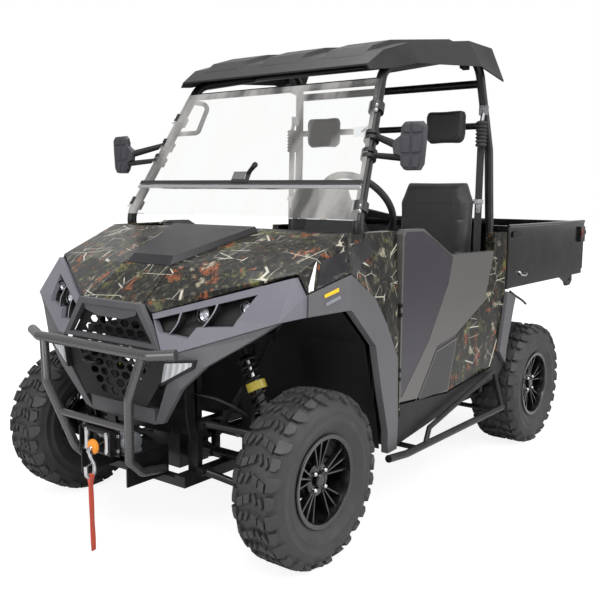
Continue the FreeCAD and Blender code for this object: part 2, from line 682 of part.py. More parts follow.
def roof():
    """Roof shell with a dropping visor, sloping sides and a raised ribbed layer."""
    stations = [
        (575, 1800, 528, 1824, 512), (480, 1812, 562, 1888, 526), (311, 1850, 592, 1938, 540),
        (-229, 1900, 616, 2022, 548), (-470, 1858, 622, 2020, 552),
    ]
    outer = loft([roof_section(*station) for station in stations])
    inner = loft([
        roof_section(x, edge_z - 2, edge_y - PANEL - 3, top_z - PANEL - 3, top_y - PANEL)
        for x, edge_z, edge_y, top_z, top_y in stations
    ])
    shell = outer.cut(inner)
    ribs = []
    for y in ROOF_RIB_PLACES:
        ribs.append(loft([
            roof_rib_section(y, x, low_z, top_z, half_width) for x, low_z, top_z, half_width in (
                (505, 1852, 1872, 118), (440, 1890, 1918, 124), (300, 1930, 1960, 128),
                (-220, 2012, 2038, 128), (-420, 2012, 2026, 118),
            )
        ]))
    feet = []
    hoop = tube(cage_side_points(), CAGE_RADIUS + FIT, CAGE_BEND)
    for x in (250, -240):
        foot = box(x - 20, x + 20, 508, 540, 1860, 2030)
        foot = foot.common(outer).cut(hoop)
        feet += pair(max(foot.Solids, key=lambda solid: solid.BoundBox.ZMax))
    return [fused([shell] + [rib.cut(inner) for rib in ribs] + feet)]


def pillar_collar(z, radius, half_length):
    """A round slug about the left front pillar."""
    at = pillar_at(z)
    along = (pillar_at(z + 10) - at).normalize()
    return rod(at - along * half_length, at + along * half_length, radius)


def screen_pane(low_z, high_z):
    """A clear pane lying in front of both pillars."""
    low = pillar_at(low_z)
    high = pillar_at(high_z)
    forward = Vector(high.z - low.z, 0, low.x - high.x).normalize()
    lift = forward * (CAGE_RADIUS + PANE_LIFT)
    corners = [
        Vector(low.x, -low.y - 8, low.z) + lift, Vector(low.x, low.y + 8, low.z) + lift,
        Vector(high.x, high.y + 8, high.z) + lift, Vector(high.x, -high.y - 8, high.z) + lift,
    ]
    pane = polygon_face(corners).extrude(forward * 5)
    for z, half_length in ((1262, 20), (1650, 20), (MIRROR_CLAMP_Z, 18)):
        for zone in pair(pillar_collar(z, CAGE_RADIUS + CLAMP_WALL + FIT, half_length + FIT)):
            pane = pane.cut(zone)
    return pane


def windscreen():
    """Upper and lower clear panes."""
    return [screen_pane(1206, 1318), screen_pane(1352, 1756)]


def screen_latch():
    """The plate and turned handle that hold the upper pane down on its rail."""
    low = pillar_at(1340)
    high = pillar_at(1386)
    forward = Vector(high.z - low.z, 0, low.x - high.x).normalize()
    lift = forward * (CAGE_RADIUS + PANE_LIFT + 5 + FIT)
    plate = polygon_face([
        Vector(low.x, -46, low.z) + lift, Vector(low.x, 46, low.z) + lift,
        Vector(high.x, 46, high.z) + lift, Vector(high.x, -46, high.z) + lift,
    ]).extrude(forward * 8)
    grip = rod(Vector(high.x, 34, high.z - 10) + lift + forward * 12,
               Vector(high.x, 74, high.z + 22) + lift + forward * 18, 8)
    return fused([plate, grip])


def windscreen_rails():
    """Two rails between the panes, the middle latch and the pillar clamps."""
    solids = []
    for low_z, high_z in ((1318.5, 1332), (1335, 1351.5)):
        low = pillar_at(low_z)
        high = pillar_at(high_z)
        forward = Vector(high.z - low.z, 0, low.x - high.x).normalize()
        lift = forward * (CAGE_RADIUS + 1)
        face = polygon_face([
            Vector(low.x, -low.y - 8, low.z) + lift, Vector(low.x, low.y + 8, low.z) + lift,
            Vector(high.x, high.y + 8, high.z) + lift, Vector(high.x, -high.y - 8, high.z) + lift,
        ])
        solids.append(face.extrude(forward * 12))
    solids[1] = fused([solids[1], screen_latch()])
    for z in (1262, 1650):
        clamp = pillar_collar(z, CAGE_RADIUS + CLAMP_WALL, 20)
        hole = pillar_collar(z, CAGE_RADIUS + FIT, 21)
        solids += pair(clamp.cut(hole))
    return solids


def dashboard():
    """Dashboard with cowl top and instrument pod."""
    profile = [
        (486, 940), (498, 1112), (560, 1158), (868, 1162), (868, 1146), (740, 1142),
        (740, 1138), (708, 1138), (708, 930), (560, DASH_BOTTOM),
    ]
    dash = prism_y(profile, -DASH_HALF_WIDTH, DASH_HALF_WIDTH)
    pod = prism_y([(510, 1110), (520, 1196), (600, 1206), (640, 1150)], SEAT_Y - 120, SEAT_Y + 120)
    opening = rod(WHEEL_CENTRE, WHEEL_CENTRE + COLUMN_DIRECTION * 500, COLUMN_RADIUS + FIT)
    ears = []
    for y in HOOD_HINGE_PLACES:
        for low in (y - 54, y + 30 + FIT):
            ears.append(Part.makeCylinder(HINGE_RADIUS, 24 - FIT, Vector(HOOD_HINGE_X, low, HOOD_HINGE_Z), AXIS_Y))
            ears.append(box(860, HOOD_HINGE_X, low, low + 24 - FIT, HOOD_HINGE_Z - 6, HOOD_HINGE_Z))
        opening = opening.fuse(Part.makeCylinder(HINGE_PIN_RADIUS + BORE_CLEARANCE, 112,
                                                 Vector(HOOD_HINGE_X, y - 56, HOOD_HINGE_Z), AXIS_Y))
    return [fused([dash, pod] + ears).cut(opening)]


def hood():
    """Hinged hood panel between the fenders."""
    points = {
        "nose_r": Vector(1436, -148, 922), "nose_l": Vector(1436, 148, 922),
        "mid_r": Vector(1272, -127, 1048), "mid_l": Vector(1272, 127, 1048),
        "rear_r": Vector(892, -250, 1172), "rear_l": Vector(892, 250, 1172),
    }
    faces = [
        ("nose_r", "nose_l", "mid_l"), ("nose_r", "mid_l", "mid_r"),
        ("mid_r", "mid_l", "rear_l"), ("mid_r", "rear_l", "rear_r"),
    ]
    panel = sheet(points, faces, Vector(0, 0, -PANEL))
    hinges = []
    for y in HOOD_HINGE_PLACES:
        hinges.append(Part.makeCylinder(HINGE_RADIUS, 60, Vector(HOOD_HINGE_X, y - 30, HOOD_HINGE_Z), AXIS_Y))
        hinges.append(box(HOOD_HINGE_X, HOOD_HINGE_X + 14, y - 30, y + 30, HOOD_HINGE_Z - 2, HOOD_HINGE_Z + 6))
        hinges.append(Part.makeCylinder(HINGE_PIN_RADIUS, 108, Vector(HOOD_HINGE_X, y - 54, HOOD_HINGE_Z), AXIS_Y))
    return [fused([panel] + hinges)]


def hood_scoop():
    """Dark raised scoop panel on the hood."""
    points = [
        Vector(1270, -118, 1049.2), Vector(1270, 118, 1049.2),
        Vector(912, 236, 1166), Vector(912, -236, 1166),
    ]
    top = [
        Vector(1243, -108, 1084), Vector(1243, 108, 1084),
        Vector(916, 226, 1186), Vector(916, -226, 1186),
    ]
    return [loft([points, top])]


def fender_points():
    """Corners of the left front fender's two facets, top and side."""
    return {
        "a": Vector(892, 257, 1172), "c": Vector(1276, 134, 1047), "d": Vector(1438, 158, 924),
        "f": Vector(1426, 187, 899), "e": Vector(1171, 641, 1048), "g": Vector(890, 644, 1168),
        "q": Vector(576, 604, 1172), "r": Vector(892, 604, 1170), "h": Vector(576, 664, 1172),
        "j": Vector(1169, 676, 982), "k": Vector(952, 703, 1038), "l": Vector(797, 706, 942),
        "m": Vector(706, 706, 834), "n": Vector(614, 704, 692), "o": Vector(580, 700, 430),
    }


def front_fenders():
    """Left and right front fenders, from the hood's seam to the door."""
    faces = [
        "acg", "ceg", "cde", "dfe", "rgh", "rhq",
        "ejg", "jkg", "klg", "glh", "lmh", "mnh", "noh",
    ]
    panel = sheet(fender_points(), faces, Vector(0, -4, -PANEL))
    hoop = tube(cage_side_points(), CAGE_RADIUS + 3, CAGE_BEND)
    return pair(panel.cut(hoop))


def arch_trims():
    """Angular wheel arch trims, front and rear, left and right."""
    top = [
        Vector(1168, 683, 976.8), Vector(952, 708, 1031.8), Vector(797, 712, 932),
        Vector(712, 712, 826), Vector(622, 710, 682), Vector(604, 706, 415), Vector(604, 704, 306),
    ]
    low = [
        Vector(1178, 687, 903), Vector(963, 714, 906), Vector(952, 714, 900),
        Vector(795, 716, 753), Vector(747, 716, 570), Vector(690, 712, 400), Vector(680, 708, 306),
    ]
    points = {}
    faces = []
    for index, (outer, inner) in enumerate(zip(top, low)):
        points["t%d" % index] = outer
        points["b%d" % index] = inner
    for index in range(len(top) - 1):
        here, there = str(index), str(index + 1)
        faces.append(("t" + here, "t" + there, "b" + there))
        faces.append(("t" + here, "b" + there, "b" + here))
    front = sheet(points, faces, Vector(0, -30, 0))
    rear = prism_y([
        (-366.4, 553.4), (-440.5, 842), (-540, 806), (-520, 760), (-452, 560), (-440, 485.6),
    ], 640, 700)
    return pair(front) + pair(rear)


def arch_liners():
    """Inner walls of the front wheel arches."""
    line = [(1176, 896.6), (960, 896.3), (952, 893), (789, 750), (741, 570), (700, 440), (676, 316)]
    back = [(670, 316), (694, 442), (735, 573), (784, 754), (946, 898), (958, 902.3), (1176, 902.6)]
    wall = prism_y(line + back, 340, 662)
    return pair(wall)


def front_fascia():
    """Headlight surrounds, left and right, each with its lamp recess cut through."""
    points = {
        "a": Vector(1428, 192, 896.4), "b": Vector(1198, 640, 1034.4), "c": Vector(1196, 678, 968),
        "d": Vector(1296, 652, 893), "e": Vector(1438, 330, 778), "f": Vector(1460, 268, 780),
        "g": Vector(1206, 684, 903),
    }
    panel = sheet(points, ["abd", "bcd", "cgd", "ade", "aef"], Vector(-24, 0, 0))
    recess = prism_x(recess_outline(), 1100, 1500)
    return pair(panel.cut(recess))


def recess_outline():
    """Front-view outline of the left lamp recess, as (y, z)."""
    return [(206, 878), (540, 976), (500, 872), (372, 862), (350, 824), (240, 836)]


def headlamps():
    """Lamp housings behind the recesses, with two projector lamps each."""
    points = {
        "a": Vector(1380, 180, 884), "b": Vector(1190, 555, 990), "d": Vector(1226, 540, 862),
        "e": Vector(1376, 240, 820),
    }
    back = sheet(points, ["abd", "ade"], Vector(-8, 0, 0))
    outer = rod(Vector(1190, 488, 929), Vector(1254, 488, 929), 35)
    inner = rod(Vector(1250, 366, 890), Vector(1330, 366, 890), 30)
    peg = seated(box(1255, 1330, 392, 408, 938, 946), front_fascia()[0], Vector(-FIT, 0, 0))
    return pair(fused([back, outer, inner, peg]))


def grille():
    """Upper frame with a blank name bar, and hexagonal mesh above and below."""
    frame_out = [(-166, 930), (166, 930), (262, 780), (-262, 780)]
    frame_in = [(-148, 908), (148, 908), (228, 796), (-228, 796)]
    frame = prism_x(frame_out, 1438.4, 1462).cut(prism_x(frame_in, 1400, 1500))
    bar = prism_x([(-150, 912), (150, 912), (136, 886), (70, 868), (-70, 868), (-136, 886)], 1437, 1456)
    mesh_outline = [
        (-150, 900), (150, 900), (238, 780), (280, 715), (168, 560), (-168, 560), (-280, 715), (-238, 780),
    ]
    mesh = prism_x(mesh_outline, 1430, 1437)
    holes = []
    for row in range(9):
        z = MESH_TOP_Z - row * MESH_PITCH_Z
        shift = (row % 2) * MESH_PITCH_Y / 2
        reach = 128 + (905 - z) * 0.64 if z > 740 else 250 - (740 - z) * 0.80
        for column in range(-5, 6):
            y = column * MESH_PITCH_Y + shift
            if abs(y) > reach - MESH_HOLE_HALF:
                continue
            hexagon = [(y + MESH_HOLE_HALF * math.cos(math.radians(60 * corner)),
                        z + MESH_HOLE_HEIGHT * math.sin(math.radians(60 * corner))) for corner in range(6)]
            holes.append(prism_x(hexagon, 1425, 1440))
    mesh = mesh.cut(Part.makeCompound(holes))
    return [fused([frame, bar, mesh])]


def lower_bumper():
    """Lower front fascia: side wedges, slanted braces and the centre apron."""
    points = {
        "a": Vector(1456, 268, 779.5), "b": Vector(1434, 332, 777.3), "c": Vector(1292, 652, 892.2),
        "d": Vector(1320, 590, 846), "e": Vector(1410, 430, 735), "f": Vector(1428, 330, 645),
        "g": Vector(1404, 215, 500), "h": Vector(1404, 172, 489), "i": Vector(1446, 306, 722),
    }
    wedge = sheet(points, ["abi", "bei", "bde", "bcd", "ief", "ifg", "igh"], Vector(-20, 0, 0))
    apron = prism_y([(1384, 489), (1404, 489), (1410, 548), (1390, 548)], -176, 176)
    return [fused([wedge, mirrored(wedge), apron])]


def brush_guard():
    """Tubular guard: top bar with back-bent ends, two bent legs and a middle bar."""
    top = tube([
        Vector(1509, 395, 788), Vector(1545, 303, 778), Vector(1545, -303, 778), Vector(1509, -395, 788),
    ], 19, 40)
    leg = tube([
        Vector(1545, 272, 778), Vector(1570, 228, 622), Vector(1507, 152, 374), Vector(1450, 150, 318),
        Vector(FRAME_FRONT_X + FIT, 150, 305),
    ], 17, 45)
    middle = rod(Vector(1540, -192, 505), Vector(1540, 192, 505), 13)
    return [fused([top, middle] + pair(leg))]


def winch():
    """Winch motor, rope drum and gear housing on the frame's plate."""
    centre = Vector(1462, 0, WINCH_PLATE_Z + FIT + 38)
    drum = Part.makeCylinder(26, 100, centre - Vector(0, 50, 0), AXIS_Y)
    motor = Part.makeCylinder(36, 92, centre - Vector(0, 140, 0), AXIS_Y)
    gear = Part.makeCylinder(38, 86, centre + Vector(0, 50, 0), AXIS_Y)
    feet = box(centre.x - 30, centre.x + 30, -136, 132, WINCH_PLATE_Z + FIT, WINCH_PLATE_Z + FIT + 14)
    return [fused([drum, motor, gear, feet])]


def fairlead():
    """Roller fairlead in front of the drum, with the tow hook."""
    plate = box(1500 + FIT, 1507, -96, 96, 376, 478).cut(box(1500, 1508, -52, 52, 400, 452))
    sides = []
    for y in (-86, 80):
        sides.append(box(1506, 1540, y, y + 6, 384, 470))
    rollers = []
    for y in (-62, 62):
        rollers.append(rod(Vector(1524, y, 384), Vector(1524, y, 470), 11))
    for z in (390, 464):
        rollers.append(rod(Vector(1530, -81, z), Vector(1530, 81, z), 10))
    hook = Part.makeTorus(24, 9, Vector(1567, 0, 397), AXIS_Y)
    stopper = rod(Vector(1541, 0, 427), Vector(1562, 0, 427), 17)
    rope = rod(Vector(1500, 0, 427), Vector(1545, 0, 427), 5)
    return [fused([plate] + sides + rollers + [rope, stopper, hook])]


def winch_strap():
    """Hanging pull strap on the hook."""
    band = prism_x([
        (-3, 22), (3, 22), (3, 345), (12.5, 362), (12.5, 387.3), (-12.5, 387.3), (-12.5, 362), (-3, 345),
    ], 1559, 1575)
    loop = prism_x([(0, 352), (9.5, 366), (9.5, 384.3), (-9.5, 384.3), (-9.5, 366)], 1558, 1576)
    return [band.cut(loop)]


def door():
    """The left door as one hollow-edged panel with a raised rear skin."""
    outline = [
        (DOOR_FRONT_X, 486), (DOOR_FRONT_X, 1160), (545, 1178), (406, 1177), (152, 1056),
        (-280, 1050), (-196, 818), (78, 704), (84, 660), (150, 452),
    ]
    inner = DOOR_OUTER_Y - DOOR_THICKNESS
    slab = prism_y(outline, inner, DOOR_OUTER_Y)
    pocket = prism_y([(520, 540), (520, 1110), (400, 1120), (150, 1000), (-180, 1000), (-150, 850), (110, 740),
                      (130, 660), (190, 510)], inner - 1, inner + 18)
    front = prism_y([(560, 505), (560, 1152), (541, 1168), (412, 1167), (340, 1142), (140, 1046), (174, 930),
                     (337, 700), (548, 505)], DOOR_OUTER_Y - DOOR_CREASE, DOOR_OUTER_Y + 1)
    slot = prism_y([(76, 700), (264, 672), (436, 462), (420, 462), (262, 652), (82, 682)],
                   DOOR_OUTER_Y - DOOR_SLOT, DOOR_OUTER_Y + 1)
    panel = slab.cut(pocket).cut(front).cut(slot)
    for z in DOOR_HINGE_HEIGHTS:
        corner = Vector(DOOR_FRONT_X, DOOR_OUTER_Y, z)
        up = Vector(0, 0, 1)
        room = rod(corner - up * (HINGE_HALF + 1), corner + up * (HINGE_HALF + 1), HINGE_RADIUS + 1)
        knuckle = rod(corner - up * HINGE_KNUCKLE_HALF, corner + up * HINGE_KNUCKLE_HALF, HINGE_RADIUS)
        web = box(DOOR_FRONT_X - 12, DOOR_FRONT_X, DOOR_OUTER_Y - 12, DOOR_OUTER_Y, z - HINGE_KNUCKLE_HALF,
                  z + HINGE_KNUCKLE_HALF)
        pin = rod(corner - up * HINGE_HALF, corner + up * HINGE_HALF, HINGE_PIN_RADIUS)
        panel = fused([panel.cut(room), knuckle, web, pin])
    return panel


def sill_panels():
    """Black sill panels under the doors."""
    outline = [(596, 306), (596, 476), (148, 442), (-300, 480), (-366, 552), (-456, 470), (-396, 428)]
    hoop = tube(cage_side_points(), CAGE_RADIUS + FIT, CAGE_BEND)
    return pair(prism_y(outline, CAB_HALF_WIDTH + FIT, 684).cut(hoop))


def rear_quarters():
    """Camouflage quarter panels behind the doors."""
    outline = [
        (142, 452), (76, 660), (70, 698), (-204, 812), (-290, 1052), (-296, 1133), (-436, 1133),
        (-440, 842), (-366, 560), (-300, 488),
    ]
    panel = prism_y(outline, 640, 684)
    hollow = prism_y([(120, 470), (60, 680), (-210, 780), (-310, 1040), (-316, 1125), (-424, 1125), (-424, 850),
                      (-350, 570), (-290, 500)], 639, 678)
    tab = box(-434, -404, 604, 645, 1125, 1133)
    hoop = tube(cage_side_points(), CAGE_RADIUS + FIT, CAGE_BEND)
    tab = max(tab.cut(hoop).Solids, key=lambda solid: solid.BoundBox.YMax)
    return pair(fused([panel.cut(hollow), tab]))


def side_steps():
    """Tubular side steps with a slanted strut and cross stays to the frame."""
    step = tube([Vector(730, 742, 305), Vector(590, 742, 290), Vector(-322, 742, 290)], 15, 80)
    strut = tube([
        Vector(440, 742, 290), Vector(360, 716, 340), Vector(-284, 710, 474), Vector(-318, 742, 290),
    ], 11, 20)
    stays = []
    for x in (500, -250):
        stays.append(rod(Vector(x, RAIL_Y + RAIL_WIDTH / 2 + FIT, 292), Vector(x, 742, 290), 11))
    return pair(fused([step, strut] + stays))


def cushion(x0, x1, z0, z1, half_width, centre_y, edge):
    """A padded block with rounded long edges."""
    block = box(x0, x1, centre_y - half_width, centre_y + half_width, z0, z1)
    return block.makeFillet(edge, block.Edges)


def seat_cushion():
    """The left seat cushion."""
    return cushion(-236, 224, SEAT_BASE_TOP + FIT, SEAT_CUSHION_TOP, SEAT_WIDTH / 2, SEAT_Y, 18)


def seat_back():
    """The left seat back, tall with narrowed shoulders."""
    half = SEAT_WIDTH / 2
    low = [Vector(-250, SEAT_Y - half, SEAT_BASE_TOP + FIT), Vector(-250, SEAT_Y + half, SEAT_BASE_TOP + FIT),
           Vector(-340, SEAT_Y + half, SEAT_BASE_TOP + FIT), Vector(-340, SEAT_Y - half, SEAT_BASE_TOP + FIT)]
    shoulder = [point + Vector(-25, 0, 1300 - SEAT_BASE_TOP) for point in low]
    top = []
    for point in low:
        inward = 40 if point.y < SEAT_Y else -40
        top.append(point + Vector(-27, inward, SEAT_BACK_TOP - SEAT_BASE_TOP))
    return loft([low, shoulder, top])


def headrest():
    """The left headrest, on the bar between the rear pillars."""
    return cushion(-384.6, -336, 1560, 1722, 110, SEAT_Y + 8, 14)


def seats():
    """Cushion, back and headrest of both seats."""
    return pair(seat_cushion()) + pair(seat_back()) + pair(headrest())


def seat_belts():
    """Belt brackets, bellows boots and webbing beside each seat."""
    hoop = tube(cage_side_points(), CAGE_RADIUS + FIT, CAGE_BEND)
    bracket = box(-405, -346, BELT_Y - 24, BELT_Y + 14, 1690, 1740).cut(hoop)
    bracket = max(bracket.Solids, key=lambda solid: solid.BoundBox.XMax)
    boot = turned([(16, 0), (28, 10), (22, 20), (28, 30), (22, 40), (28, 50), (22, 60), (28, 70), (22, 80),
                   (28, 90), (22, 100), (28, 110), (16, 124), (0, 124), (0, 0)],
                  Vector(-336, BELT_Y, 1540), Vector(0, 0, 1))
    webbing = box(-337, -335, BELT_Y - BELT_WIDTH / 2, BELT_Y + BELT_WIDTH / 2, SEAT_BASE_TOP + FIT, 1541)
    link = rod(Vector(-350, BELT_Y, 1700), Vector(-336, BELT_Y, 1660), 10)
    return pair(fused([bracket, boot, webbing, link]))


def side_mirrors():
    """Mirror heads on arms clamped to the front pillars."""
    clamp = pillar_collar(MIRROR_CLAMP_Z, CAGE_RADIUS + CLAMP_WALL, 18)
    hole = pillar_collar(MIRROR_CLAMP_Z, CAGE_RADIUS + FIT, 40)
    at = pillar_at(MIRROR_CLAMP_Z)
    arm = rod(at + Vector(0, CAGE_RADIUS + 4, 0), Vector(700, 770, 1500), 12)
    head = prism_x([(742, 1420), (742, 1560), (760, 1580), (836, 1580), (856, 1556), (850, 1420), (836, 1402),
                    (764, 1402)], 690, 728)
    return pair(fused([clamp, arm, head]).cut(hole))


def cargo_bed():
    """Steel bed: floor, two sides, front wall, under channels and hinge lugs."""
    w = BED_HALF_WIDTH
    tray = box(BED_REAR_X, BED_FRONT_X, -w, w, BED_FLOOR_Z, BED_TOP_Z)
    inside = box(BED_REAR_X - 1, BED_FRONT_X - BED_WALL, -w + BED_WALL, w - BED_WALL, BED_FLOOR_Z + 6, BED_TOP_Z + 1)
    pieces = [tray.cut(inside)]
    for y0, y1 in ((w - 1, w + BED_RIM_OUT), (-w - BED_RIM_OUT, 1 - w)):
        pieces.append(box(BED_REAR_X, BED_FRONT_X, y0, y1, BED_TOP_Z - BED_RIM_HEIGHT, BED_TOP_Z))
        pieces.append(box(BED_FRONT_X - 40, BED_FRONT_X, y0, y1, BED_FLOOR_Z, BED_TOP_Z))
    half = RAIL_WIDTH / 2
    for y in (-RAIL_Y, RAIL_Y):
        pieces.append(box(BED_HINGE_X - 45, BED_FRONT_X - 30, y - half, y + half, BED_CHANNEL_BOTTOM, BED_FLOOR_Z))
    for y in (-400, 400):
        pieces.append(box(BED_REAR_X - 12, BED_REAR_X + 10, y - 20, y + 20, BED_FLOOR_Z - 20, BED_FLOOR_Z + 6))
        pieces.append(Part.makeCylinder(GATE_BARREL, 40, Vector(GATE_AXIS_X, y - 20, GATE_AXIS_Z), AXIS_Y))
        pieces.append(box(GATE_AXIS_X - 4, BED_REAR_X, y - 20, y + 20, BED_FLOOR_Z - 14, GATE_AXIS_Z - 2))
    bed = fused(pieces)
    for y in (-RAIL_Y, RAIL_Y):
        bed = bed.cut(Part.makeCylinder(8 + BORE_CLEARANCE, 2 * half + 4,
                                        Vector(BED_HINGE_X, y - half - 2, BED_HINGE_Z), AXIS_Y))
    for y in (-400, 400):
        bed = bed.cut(Part.makeCylinder(4 + BORE_CLEARANCE, 60, Vector(GATE_AXIS_X, y - 30, GATE_AXIS_Z), AXIS_Y))
    return [bed]


def tailgate():
    """Rear gate with its hinge pins and barrels."""
    w = BED_HALF_WIDTH - 3
    panel = box(GATE_AXIS_X, GATE_X, -w, w, GATE_AXIS_Z + 14, BED_TOP_Z - 3)
    pieces = [panel]
    for y in (-400, 400):
        for side in (-1, 1):
            start = y + side * 20.5 if side > 0 else y - 20.5 - 30
            pieces.append(Part.makeCylinder(GATE_BARREL, 30, Vector(GATE_AXIS_X, start, GATE_AXIS_Z), AXIS_Y))
            pieces.append(box(GATE_AXIS_X - GATE_BARREL + 1, GATE_AXIS_X + 6, start, start + 30, GATE_AXIS_Z,
                              GATE_AXIS_Z + 18))
        pieces.append(Part.makeCylinder(4, 60, Vector(GATE_AXIS_X, y - 30, GATE_AXIS_Z), AXIS_Y))
    gate = fused(pieces)
    for y in (-400, 400):
        gate = gate.cut(box(GATE_AXIS_X - 20, GATE_AXIS_X + 30, y - 20.4, y + 20.4, GATE_AXIS_Z + 4.2, GATE_AXIS_Z + 13.9))
    return [gate]


def tail_lamps():
    """Lamp boxes on the bed's sides near the gate."""
    return pair(box(-1560, -1490, BED_HALF_WIDTH + FIT, BED_HALF_WIDTH + 16, 1040, 1130))


def main():
    """Write every piece of the vehicle."""
    os.makedirs("parts", exist_ok=True)
    front = Vector(FRONT_AXLE_X, FRONT_WHEEL_Y, TYRE_RADIUS)
    rear = Vector(REAR_AXLE_X, REAR_WHEEL_Y, TYRE_RADIUS)
    for place, centre, width in (("front", front, FRONT_TYRE_WIDTH), ("rear", rear, REAR_TYRE_WIDTH)):
        left_tyre = tyre(centre, width)
        left_rim = rim(centre, width, 1)
        save("tyre_" + place + "_left", [left_tyre])
        save("tyre_" + place + "_right", [mirrored(left_tyre)])
        save("rim_" + place + "_left", [left_rim])
        save("rim_" + place + "_right", [mirrored(left_rim)])
    knuckle = upright(FRONT_AXLE_X, True)
    save("knuckle_front_left", [knuckle])
    save("knuckle_front_right", [mirrored(knuckle)])
    save("rear_knuckles", pair(upright(REAR_AXLE_X, False)))
    left_door = door()
    save("door_left", [left_door])
    save("door_right", [mirrored(left_door)])
    for piece in (
        suspension_arms, shock_absorbers, drive_shafts, steering_rack, steering_gear, steering_wheel,
        chassis_frame, shock_towers, floor_tub, engine_block, exhaust, roll_cage, roof, windscreen, windscreen_rails,
        dashboard, hood, hood_scoop, front_fenders, arch_trims, arch_liners, front_fascia, headlamps,
        grille, lower_bumper, brush_guard, winch, fairlead, winch_strap, sill_panels, rear_quarters,
        side_steps, seats, seat_belts, side_mirrors, cargo_bed, tailgate,
        tail_lamps,
    ):
        save(piece.__name__, piece())


main()
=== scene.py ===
"""Looks of the two-seat utility vehicle, laid out as an add-on and run as a script."""

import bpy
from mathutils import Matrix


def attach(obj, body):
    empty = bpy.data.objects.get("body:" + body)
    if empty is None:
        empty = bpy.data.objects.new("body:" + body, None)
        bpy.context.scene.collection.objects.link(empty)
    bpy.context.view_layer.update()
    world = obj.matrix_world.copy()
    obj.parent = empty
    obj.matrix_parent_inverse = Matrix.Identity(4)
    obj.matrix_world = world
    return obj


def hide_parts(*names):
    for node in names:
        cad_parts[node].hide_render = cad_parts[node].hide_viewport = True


bl_info = {
    "name": "Side by side utility vehicle",
    "version": (1, 0, 0),
    "blender": (4, 5, 0),
    "location": "3D View > Sidebar > Utility vehicle",
    "description": "Builds the pieces and finishes of a two-seat utility vehicle on its CAD frame",
    "category": "Object",
}

import math

import bmesh
import bpy
from mathutils import Matrix, Vector
from mathutils.bvhtree import BVHTree

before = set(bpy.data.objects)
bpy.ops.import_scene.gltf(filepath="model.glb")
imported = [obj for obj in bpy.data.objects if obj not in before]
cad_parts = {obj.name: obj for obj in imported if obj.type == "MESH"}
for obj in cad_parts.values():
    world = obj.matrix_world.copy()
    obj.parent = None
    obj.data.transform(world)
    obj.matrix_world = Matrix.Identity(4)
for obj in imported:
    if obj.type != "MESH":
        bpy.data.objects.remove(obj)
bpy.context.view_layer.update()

# Places that the pieces share with the frame, in metres
TYRE_RADIUS = 0.3175
BEAD_RADIUS = 0.152
RIM_LIP_RADIUS = 0.170
BEAD_TO_SIDEWALL = 0.024
AXLES = {"front": (1.110, 0.6385, 0.1015), "rear": (-0.790, 0.613, 0.127)}
KINGPIN_Y = 0.560
SEAT_Y = 0.365
HEADREST_Y = 0.373
SHOCK_FOOT = (0.470, 0.4715)
SHOCK_HEAD = (0.330, 0.752)
WHEEL_CENTRE = Vector((0.410, 0.365, 1.256))
COLUMN_DIRECTION = Vector((0.8, 0.0, -0.6))
PILLAR_FOOT = Vector((0.822, 0.638, 1.175))
PILLAR_HEAD = Vector((0.463, 0.515, 1.816))
MESH_FRONT_X = 1.4374
RAIL_HEIGHTS = (1.310, 1.3522)

X_AXIS = Vector((1, 0, 0))
Y_AXIS = Vector((0, 1, 0))
Z_AXIS = Vector((0, 0, 1))


def mm(x, y, z):
    """A point given in millimetres."""
    return Vector((x, y, z)) / 1000


# Node helpers

def feed(tree, node, **sockets):
    """Sets or links a node's inputs by name."""
    for key, value in sockets.items():
        join(tree, value, node.inputs[key.replace("_", " ")])
    return node


def add(tree, kind, settings=None, **sockets):
    """One node, with its settings, and its inputs set or linked by name."""
    made = tree.nodes.new(kind)
    for key, value in (settings or {}).items():
        setattr(made, key, value)
    return feed(tree, made, **sockets)


def join(tree, value, socket):
    """Links an output to a socket, or sets the socket's value. A colour is given as three numbers."""
    if isinstance(value, bpy.types.NodeSocket):
        tree.links.new(value, socket)
    elif socket.type == "RGBA":
        socket.default_value = (*value, 1.0)
    else:
        socket.default_value = value


def ordered(tree, kind, settings, *values):
    """The first output of one node, whose inputs are set or linked in their order."""
    made = add(tree, kind, settings)
    for socket, value in zip(made.inputs, values):
        join(tree, value, socket)
    return made.outputs[0]


def maths(tree, operation, *values):
    """The result of one Math node."""
    return ordered(tree, "ShaderNodeMath", {"operation": operation}, *values)


def blended(tree, share, first, second):
    """The colour that lies between two colours."""
    made = tree.nodes.new("ShaderNodeMix")
    made.data_type = "RGBA"
    for number, value in ((0, share), (6, first), (7, second)):
        join(tree, value, made.inputs[number])
    return made.outputs[2]


def shaded(colour, by):
    """A colour with each part multiplied."""
    return tuple(part * by for part in colour)


def ramp(tree, value, stops):
    """A colour ramp through (place, colour) stops."""
    made = tree.nodes.new("ShaderNodeValToRGB")
    tree.links.new(value, made.inputs[0])
    band = made.color_ramp
    while len(band.elements) < len(stops):
        band.elements.new(1.0)
    for element, (place, colour) in zip(band.elements, stops):
        element.position = place
        element.color = (*colour, 1.0)
    return made.outputs[0]


def spread(tree, value, low, high, low_out, high_out):
    """A value moved from one range to another, held at its ends."""
    return ordered(tree, "ShaderNodeMapRange", {}, value, low, high, low_out, high_out)


def object_place(tree):
    """Object coordinates."""
    return tree.nodes.new("ShaderNodeTexCoord").outputs["Object"]


def object_parts(tree):
    """The X, Y and Z of the object coordinates."""
    return add(tree, "ShaderNodeSeparateXYZ", Vector=object_place(tree)).outputs


def stretched(tree, scale=(1, 1, 1), turn=(0, 0, 0)):
    """Object coordinates, stretched and turned."""
    return add(tree, "ShaderNodeMapping", Vector=object_place(tree), Scale=scale, Rotation=turn).outputs[0]


def noise(tree, where, scale, detail=2.0, roughness=0.5):
    """A cloudy value between 0 and 1."""
    made = add(tree, "ShaderNodeTexNoise", Vector=where, Scale=scale, Detail=detail, Roughness=roughness)
    return made.outputs["Fac"]


